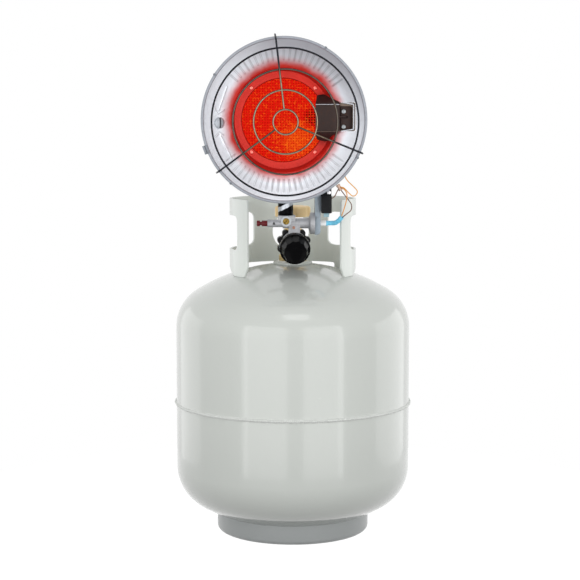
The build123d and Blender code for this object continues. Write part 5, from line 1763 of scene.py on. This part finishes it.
    def louver(self) -> None:
        """The round lighting port: a low dome cut by an upright slit, with a black disc behind it
        as painted shadow, where the sheet itself is not cut.
        """
        radius, gap, steps = self.port_radius, self.port_slit / 2, 14
        lean = math.atan2(self.rim_front - self.recess_front, self.lip - self.recess_edge)
        form = Form()
        for way in (-1, 1):
            rows = []
            for lift in (0.0, -0.8):
                for i in range(steps + 1) if lift == 0.0 else range(steps, -1, -1):
                    x = gap + (radius - gap) * math.sin(i / steps * math.pi / 2)
                    reach = math.sqrt(max(radius**2 - x**2, 0.0))
                    row = []
                    for j in range(2 * steps + 1):
                        y = reach * math.sin((j / steps - 1) * math.pi / 2)
                        dome = max(0.0, 1 - (x * x + y * y) / radius**2) ** 0.6
                        row.append((way * x, y, self.port_rise * dome + lift))
                    rows.append(row)
            form.net(rows, close=True)
        pit = lathe(box(0, radius * 0.9, -1.4, -0.3), 32)
        spot = Vector((*self.port, self.port_height))
        place = self.place @ Matrix.Translation(spot) @ Matrix.Rotation(lean, 4, "Y")
        install("port_louver", form.moved(place), LOUVER_METAL)
        install("port_shadow", pit.moved(place), PIT_SHADOW_BLACK)

    def fasteners(self) -> None:
        """The four rivets through the seat."""
        front = self.seat + self.wall
        spots = [(*polar(self.rivet_circle, angle), front) for angle in (45, 135, 225, 315)]
        mesh = studs("seat_rivets", lathe(self.rivet, 20), spots, RIVET_METAL, self.place)
        install("seat_rivets", mesh, RIVET_METAL, "dish_rivets", sharp=60)

    def tray_box(self) -> None:
        """The tray that holds the sensor, with a bright pressed lip round its open sides."""
        left, right, low, high = self.tray
        wide, tall = right - left, high - low
        place = facing_front((left + right) / 2, (low + high) / 2)
        edge = rounded(box(-wide / 2, wide / 2, -tall / 2, tall / 2), [0.5, 3, 3, 0.5])
        floor, back, front = self.tray_floor, self.tray_floor - 1, self.recess_front + wide / 2
        top = []
        for x, y in edge:
            share = (x + wide / 2) / wide
            top.append((x, y, max(floor + (front - floor) * share, floor)))
        inner = [(x * 0.93, y * 0.96, z) for x, y, z in top]
        foot, inner_foot = ([(x, y, back) for x, y, _ in row] for row in (top, inner))
        wall = Form().net([foot, top, inner, inner_foot], close=True)
        tray = slab(edge, back, floor).add(wall)
        install("sensor_tray", tray.moved(place), TINTED_TRAY, "sensor_pocket")
        corners = [
            (-wide / 2 + 2, -tall / 2, floor + 2),
            (wide / 2, -tall / 2, front + 0.4),
            (wide / 2, tall / 2, front + 0.4),
            (-wide / 2 + 2, tall / 2, floor + 2),
        ]
        lip = tube(bent_path(corners, [3.2, 3.2]), 0.95, 12)
        install("tray_lip", lip.moved(place), BRIGHT_EDGE)

    def build(self) -> None:
        """Makes the reflector."""
        self.dish()
        self.louver()
        self.fasteners()
        self.tray_box()


# ------------------------ the burner
@dataclass
class Burner:
    """The mixer tube, the burner's cup and its glowing perforated screen."""

    axis: Flat = DISH_AXIS
    front: float = 77.5
    seat_front: float = 78.0
    seat_radius: float = 53.4
    rim_radius: float = 60.5
    screen_radius: float = 56.6
    crown: float = 2.3
    thickness: float = 0.8
    pitch: float = 3.3
    hole: float = 1.0
    bed: Box = (0, 52.0, 72.0, 73.0)
    bell: Flat = (-10.9, -44.0)
    bell_z: Flat = (426.5, 443.6)
    liner: Flat = (6.9, 9.35)

    def cell(self) -> Form:
        """One square of the screen with its round hole."""
        half, holes, edge = self.pitch / 2, [], []
        for i in range(8):
            angle = 45 * i + 22.5
            holes.append(polar(self.hole, angle))
            x, y = polar(1, angle)
            grow = half / max(abs(x), abs(y))
            edge.append((x * grow, y * grow))
        rows = [
            [(x, y, 0.0) for x, y in edge],
            [(x, y, 0.0) for x, y in holes],
            [(x, y, -self.thickness) for x, y in holes],
            [(x, y, -self.thickness) for x, y in edge],
        ]
        form = Form().net(rows)
        corners = ((half, half), (-half, half), (-half, -half), (half, -half))
        for level, count in ((0.0, 0), (-self.thickness, 24)):
            for i, corner in enumerate(corners):
                form.points.append((*corner, level))
                form.faces.append((count + 2 * i, count + 2 * i + 1, len(form.points) - 1))
        return form

    def screen(self) -> None:
        """The perforated screen, grown from its cell and crowned, and its plain rim."""
        across = int(2 * self.screen_radius / self.pitch) + 1
        growth = Growth(
            "perforations",
            Width=self.pitch * (across - 1),
            Across=across,
            Radius=self.screen_radius,
            Crown=self.crown,
            Cell=self.cell(),
        )
        width, count, radius = (growth.size(label) for label in ("Width", "Across", "Radius"))
        sizes = {"Size X": width, "Size Y": width, "Vertices X": count, "Vertices Y": count}
        grid = growth.node("GeometryNodeMeshGrid", None, sizes)
        spot = growth.node("GeometryNodeInputPosition")
        away = growth.node("ShaderNodeVectorMath", {"operation": "LENGTH"}, {0: spot}, "Value")
        greater = {"data_type": "FLOAT", "operation": "GREATER_THAN"}
        outside = growth.node("FunctionNodeCompare", greater, {0: away, 1: radius})
        corners = {"Geometry": grid, "Selection": outside}
        kept = growth.node("GeometryNodeDeleteGeometry", {"domain": "POINT"}, corners)
        cells = growth.repeat(kept, "Cell")
        loose = growth.node("GeometryNodeRealizeInstances", None, {0: cells})
        merging = {0: loose, "Distance": self.pitch / 50}
        joined = growth.node("GeometryNodeMergeByDistance", None, merging)
        share = away / radius
        rise = (1 - share * share) * growth.size("Crown")
        lift = growth.node("ShaderNodeCombineXYZ", None, {"Z": rise})
        moving = {"Geometry": joined, "Offset": lift}
        domed = growth.node("GeometryNodeSetPosition", None, moving)
        place = facing_front(*self.axis)
        mesh = growth.result(domed, EMBER, place @ Matrix.Translation((0, 0, self.front)))
        install("perforated_screen", mesh, EMBER, "emitter_screen", sharp=30)
        edge, seat = self.screen_radius - 0.8, self.seat_radius
        rim = lathe(box(edge, self.rim_radius, self.front - 0.9, self.front - 0.1), 160)
        install("screen_rim", rim.moved(place), ALUMINISED)
        # A dim red ring round the screen's border: painted shade along its edge.
        section = [
            (seat - 1.0, self.front - 0.3),
            (seat, self.front - 0.3),
            (seat, self.seat_front),
            (seat - 1.0, self.seat_front - 0.1),
        ]
        install("screen_gap", lathe(section, 160).moved(place), EDGE_SHADE_GLOW)
        install("ember_bed", lathe(box(*self.bed), 96).moved(place), COALS)

    def build(self) -> None:
        """Makes the burner."""
        self.screen()
        eased("burner_cup", ALUMINISED, 0.3)
        eased("gas_orifice", BRASS, 0.2)
        eased("mixer_tube", BELL_METAL, 0.25)
        liner = lathe(box(*self.liner, *self.bell_z), 64)
        liner = liner.moved(Matrix.Translation((*self.bell, 0)))
        install("bell_liner", liner, BELL_METAL)


# ------------------------ the guard
@dataclass
class Guard:
    """The wire guard in front of the dish: four rings on three spokes."""

    axis: Flat = GUARD_AXIS
    dish_axis: Flat = DISH_AXIS
    wire: float = 2.4
    rings_at: tuple[tuple[str, float], ...] = (
        ("guard_hub_ring", 15.3),
        ("guard_inner_ring", 39.3),
        ("guard_middle_ring", 64.8),
        ("guard_outer_ring", 91.2),
    )
    spokes: tuple[float, ...] = (96.5, 216.5, 338.0)
    slope: float = 0.2
    lip: float = DISH_LIP
    rim_front: float = RIM_FRONT
    bead: float = RIM_BEAD
    hook: float = 7.0
    hook_over: float = 1.6
    highlight_line: Point = (0.08, -0.95, -0.3)

    @property
    def rest(self) -> float:
        """How far forward the spokes lie on the dish's rim."""
        return self.rim_front + self.bead + self.wire / 2

    def forward(self, radius: float) -> float:
        """How far forward a spoke's middle is at a radius."""
        return self.rest + self.slope * (self.lip - radius)

    def rings(self) -> None:
        """The four rings, each grown from its radius and its wire."""
        step = self.wire * math.sqrt(1 + self.slope**2)
        for node, radius in self.rings_at:
            growth = Growth(f"{node}_wire", Radius=radius, Wire=self.wire / 2, Steps=160)
            kind = "GeometryNodeCurvePrimitiveCircle"
            sizes = {"Resolution": growth.size("Steps"), "Radius": growth.size("Radius")}
            loop = growth.node(kind, None, sizes)
            section = growth.node(kind, None, {"Resolution": 14, "Radius": growth.size("Wire")})
            curves = {"Curve": loop, "Profile Curve": section}
            wire = growth.node("GeometryNodeCurveToMesh", None, curves)
            forward = Matrix.Translation((0, 0, self.forward(radius) + step))
            mesh = growth.result(wire, GUARD_WIRE, facing_front(*self.axis) @ forward)
            self.flank(mesh)
            install(f"{node}_wire", mesh, GUARD_WIRE, node, sharp=80)

    def flank(self, mesh: bpy.types.Mesh) -> None:
        """Marks how far each point of a wire is turned away from its painted highlight line, for
        the painted shade on its flanks.
        """
        front = Vector(self.highlight_line).normalized()
        mark(mesh, "flank", lambda vertex: smooth_step(0.98, 0.78, vertex.normal.dot(front)))

    def spoke(self, angle: float) -> Form:
        """One spoke, from the hub's ring over the rim, hooked down behind it.

        Args:
            angle: Where it points, from the guard's right-hand side.

        Returns:
            The spoke, in the guard's frame.
        """
        out = Vector(polar(1, angle))
        shift = Vector(self.axis) - Vector(self.dish_axis)
        along, across = shift.dot(out), shift.cross(out)
        reach = self.lip + self.bead + self.wire / 2 + self.hook_over
        end = math.sqrt(reach**2 - across**2) - along
        start = self.rings_at[0][1] - self.wire / 2
        corners = [
            (start, self.forward(start)),
            (self.lip, self.rest),
            (end, self.rest),
            (end, self.rest - self.hook),
        ]
        route = [(r * out.x, r * out.y, h) for r, h in corners]
        return tube(bent_path(route, (4 * self.wire, self.wire)), self.wire / 2, 14)

    def build(self) -> None:
        """Makes the guard."""
        self.rings()
        form = Form()
        for angle in self.spokes:
            form.add(self.spoke(angle))
        mesh = tidy_mesh(form.moved(facing_front(*self.axis)), "guard_spoke_wires")
        self.flank(mesh)
        install("guard_spoke_wires", mesh, GUARD_WIRE, "guard_spokes", sharp=70)
        eased("rim_clips", CLIP_METAL, 0.15)


# ------------------------ the flame sensor
@dataclass
class FlameSensor:
    """The thermocouple behind its heat-tinted shield, and the shield's screws."""

    face: Box = (24.6, 54.6, 531.8, 565.4)
    face_front: float = 104.0
    tab: Box = (56.8, 70.9, 533.4, 563.4)
    tab_front: float = 99.4
    wall: float = 0.8
    screws: tuple[Flat, ...] = ((60.3, 537.5), (60.3, 556.7))
    screw: tuple[Flat, ...] = (
        *((0, -2.5), (1.4, -2.5), (1.4, 0), (2.9, 0), (2.9, 0.5)),
        *((2.5, 1.1), (1.6, 1.45), (0.9, 1.5), (0.7, 0.8), (0, 0.8)),
    )
    wing_lean: float = 45.0
    upper_wing: tuple[Flat, ...] = (
        *((0, -0.6), (0, 2), (2.8, 17), (12, 18.2), (19, 12), (29.8, 5), (30, -0.6)),
    )
    lower_wing: tuple[Flat, ...] = (
        *((0, -0.6), (-0.8, 3), (3, 15.3), (16, 18.2), (20, 9), (30, -0.6)),
    )

    def plate(self, outline: Sequence[Flat], front: float) -> Form:
        """A flat plate that faces forwards, its outline in the model's X and Z."""
        return slab(outline, front - self.wall, front).moved(facing_front())

    def wing(self, up: int, corners: Sequence[Flat]) -> Form:
        """A wing folded back from the face's upper or lower edge.

        Args:
            up: 1 for the upper wing, -1 for the lower one.
            corners: Its outline, as a distance from the face's left edge and a height.

        Returns:
            The wing.
        """
        left, _, low, high = self.face
        edge = high if up > 0 else low
        lean = math.radians(self.wing_lean)
        backwards = (0, -math.cos(lean), up * math.sin(lean))
        place = frame_at((left, -self.face_front, edge), (1, 0, 0), backwards)
        outline = rounded([(x, up * y) for x, y in corners], 3.2)
        return slab(outline, -self.wall, 0).moved(place)

    def shield(self) -> None:
        """The shield: its face, its slant, its mounting tab and its two wings."""
        left, right, low, high = self.face
        tab_left, _, tab_low, tab_high = self.tab
        form = self.plate(box(left, right + 0.2, low, high), self.face_front)
        slant_line = [
            (right, self.face_front),
            (tab_left, self.tab_front),
            (tab_left, self.tab_front - self.wall),
            (right, self.face_front - self.wall),
        ]
        slant = Form().net([[(x, -y, z) for x, y in slant_line] for z in (tab_low, tab_high)])
        slant.faces += [(3, 2, 1, 0), (4, 5, 6, 7)]
        form.add(slant)
        form.add(self.plate(rounded(box(*self.tab), [0.2, 3, 3, 0.2]), self.tab_front))
        form.add(self.wing(1, self.upper_wing))
        form.add(self.wing(-1, self.lower_wing))
        mesh = settle("shield_plate", form, bevel(0.22, 2, 30))
        install("shield_plate", mesh, HEAT_TINT, "thermocouple_shield")
        # Thin tubes along the wings' two folds: painted highlights on the bends, the lower one
        # thinner and fainter.
        front = -self.face_front + 0.2
        for name, edge, thick, finish in (
            ("upper", high, 0.6, BRIGHT_EDGE),
            ("lower", low, 0.35, TINTED_TRAY),
        ):
            fold = [(left + 0.3, front, edge), (right, front, edge)]
            install(f"shield_{name}_crease", tube(fold, thick, 10), finish)

    def screw_heads(self) -> None:
        """Two pan-head screws on the tab."""
        spots = [(x, z, self.tab_front) for x, z in self.screws]
        head = lathe(self.screw, 24)
        mesh = studs("shield_screw_heads", head, spots, SCREW_GREY, facing_front())
        install("shield_screw_heads", mesh, SCREW_GREY, "shield_screws")

    def build(self) -> None:
        """Makes the flame sensor."""
        self.shield()
        self.screw_heads()
        dress_node("thermocouple", HEAT_TINT)


# ------------------------ the heat knob
@dataclass
class HeatKnob:
    """The regulator's knob: a fluted skirt, a faceted taper and a dished face."""

    tilt: float = 9.5
    origin: Point = (0.0, -60.0, 385.0)
    back: float = 10.0
    depth: float = 28.0
    skirt_radius: float = 19.8
    skirt_depth: float = 11.0
    face_radius: float = 13.9
    flutes: int = 28
    facets: int = 12
    bore: float = 9.3
    bore_depth: float = 9.1

    @property
    def place(self) -> Matrix:
        """The knob's frame, on its axis."""
        lean = math.radians(self.tilt)
        return frame_at(self.origin, (1, 0, 0), (0, -math.cos(lean), -math.sin(lean)))

    def shape(self, radius: float, height: float, angle: float) -> Flat:
        """Cuts the skirt's flutes and the taper's facets.

        Args:
            radius: A point's radius on the plain knob.
            height: Its height.
            angle: Its angle.

        Returns:
            Its radius and height on the finished knob.
        """
        skirt_end = self.back + self.skirt_depth
        if radius < self.face_radius + 0.4:
            return radius, height
        if height <= skirt_end:
            wave = math.cos(math.radians(angle * self.flutes))
            groove = smooth_step(0.35, 0.95, wave) * 0.7
            fade = smooth_step(self.back, self.back + 1.2, height)
            fade *= smooth_step(skirt_end, skirt_end - 2.2, height)
            return radius - groove * fade, height
        step = 360 / self.facets
        off = math.radians((angle + step / 2) % step - step / 2)
        flat = math.cos(math.radians(step / 2)) / math.cos(off)
        share = smooth_step(skirt_end + 0.6, skirt_end + 3, height)
        return radius * (1 - share * (1 - flat)), height

    def build(self) -> None:
        """Makes the knob."""
        end = self.back + self.depth
        skirt_end = self.back + self.skirt_depth
        profile = [
            (0, self.back + self.bore_depth),
            (self.bore, self.back + self.bore_depth),
            (self.bore, self.back),
            (self.skirt_radius - 0.9, self.back),
        ]
        profile += arc((self.skirt_radius - 0.9, self.back + 0.9), 0.9, -90, 0, 4)[1:]
        levels = 8
        profile += [
            (self.skirt_radius, self.back + 0.9 + (self.skirt_depth - 1.8) * i / levels)
            for i in range(1, levels + 1)
        ]
        profile += arc((self.skirt_radius - 0.8, skirt_end - 0.9), 0.8, 20, 90, 4)
        taper_end = (self.face_radius + 0.9, end - 0.7)
        profile += straight((self.skirt_radius - 1.5, skirt_end + 0.3), taper_end, 8)
        profile += [
            (self.face_radius + 0.3, end - 0.1),
            (self.face_radius - 0.5, end),
            (self.face_radius - 1.3, end - 0.3),
            (self.face_radius * 0.6, end - 0.75),
            (0, end - 0.9),
        ]
        form = lathe(profile, 336, self.shape).moved(self.place)
        install("knob_moulding", form, GLOSS_BLACK, "heat_knob", sharp=28)


# ------------------------ the other fittings
@dataclass
class Fittings:
    """Valves, bracket and switch, whose CAD shapes are right and get eased edges."""

    machined: tuple[tuple[str, Finish, float], ...] = (
        ("packing_nut", BRASS, 0.4),
        ("relief_valve", BRASS, 0.4),
        ("bleed_screw", BRASS, 0.2),
        ("inlet_nipple", BRASS, 0.3),
        ("outlet_plug", SHADED_PLUG_BRASS, 0.25),
        ("neck_screw", DULL_COPPER, 0.2),
        ("magnet_unit", ZINC, 0.3),
        ("handwheel_screw", ZINC, 0.25),
        ("mounting_bracket", GALVANISED, 0.3),
        ("bracket_screws", ZINC, 0.4),
        ("switch_screw", ZINC, 0.4),
        ("switch_terminals", TERMINAL_BLUE, 0.2),
        ("start_button", BUTTON_RED, 0.3),
        ("connector_nut", NUT_BLACK, 0.5),
        ("regulator_bonnet", DIE_CAST, 0.5),
        ("tip_switch", SWITCH_BLACK, 0.3),
        ("heater_valve_body", DIE_CAST, 0.4),
    )
    mouldings: tuple[tuple[str, Finish, float, int], ...] = (
        ("valve_body", BRASS, 0.5, 3),
        ("valve_handwheel", WHEEL_TAN, 0.5, 8),
    )
    plain: tuple[tuple[str, Finish], ...] = (
        ("valve_stem", BRASS),
        ("dip_tube", BARE_STEEL),
        ("float_bracket", BARE_STEEL),
        ("overfill_float", FOAM),
        ("nipple_o_ring", RUBBER),
        ("regulator_diaphragm", RUBBER),
        ("regulator_spring", BARE_STEEL),
        ("adjusting_screw", BARE_STEEL),
        ("button_stem", BARE_STEEL),
        ("safety_seat", RUBBER),
    )
    vent: tuple[Flat, ...] = ((-28.3, 412.0), (-24.5, 412.0), (-26.4, 415.9))
    vent_depth: Flat = (58.1, 59.1)
    coil_end: Point = (-23.9, -54.0, 413.4)
    coil_length: float = 3.2
    coil_radius: float = 3.4
    coil_wire: float = 0.5
    coil_turns: int = 5
    terminal_block: Box = (37.4, 43.7, 422.6, 427.4)
    terminal_depth: Flat = (67.8, 69.8)

    def build(self) -> None:
        """Makes and dresses the fittings."""
        for sizes in self.machined:
            eased(*sizes)
        for sizes in self.mouldings:
            cast(*sizes)
        for node, finish in self.plain:
            dress_node(node, finish)
        # vent_shadow: a black plate in the vent's mouth, painted shadow of the hole, in the
        # rubber's finish.
        vent = slab(self.vent, *self.vent_depth)
        install("vent_shadow", vent.moved(facing_front()), RUBBER)
        block = slab(box(*self.terminal_block), *self.terminal_depth).moved(facing_front())
        install("terminal_block", settle("terminal_block", block, bevel(0.3)), TERMINAL_BLUE)
        self.button_coil()

    def button_coil(self) -> None:
        """The button's spring, kept at the length it has with the button pressed."""
        x, y, z = self.coil_end
        steps = 24 * self.coil_turns
        path = []
        for i in range(steps + 1):
            across, up = polar(self.coil_radius, 15 * i)
            path.append((x - self.coil_length * i / steps, y + across, z + up))
        coil = tube(path, self.coil_wire / 2, 8)
        install("button_coil", coil, BARE_STEEL, "button_spring")


def main() -> None:
    """Builds the scene, in order."""
    logging.basicConfig(level=logging.INFO, format="%(message)s")
    studio = Studio()
    studio.place_camera()
    makers = (Lead, Cylinder, Collar, Reflector, Burner, Guard, FlameSensor, HeatKnob, Fittings)
    for maker in makers:
        LOG.info("-- %s", maker.__name__)
        maker().build()
    studio.light()
    studio.lay_floor()


if __name__ == "__main__":
    main()
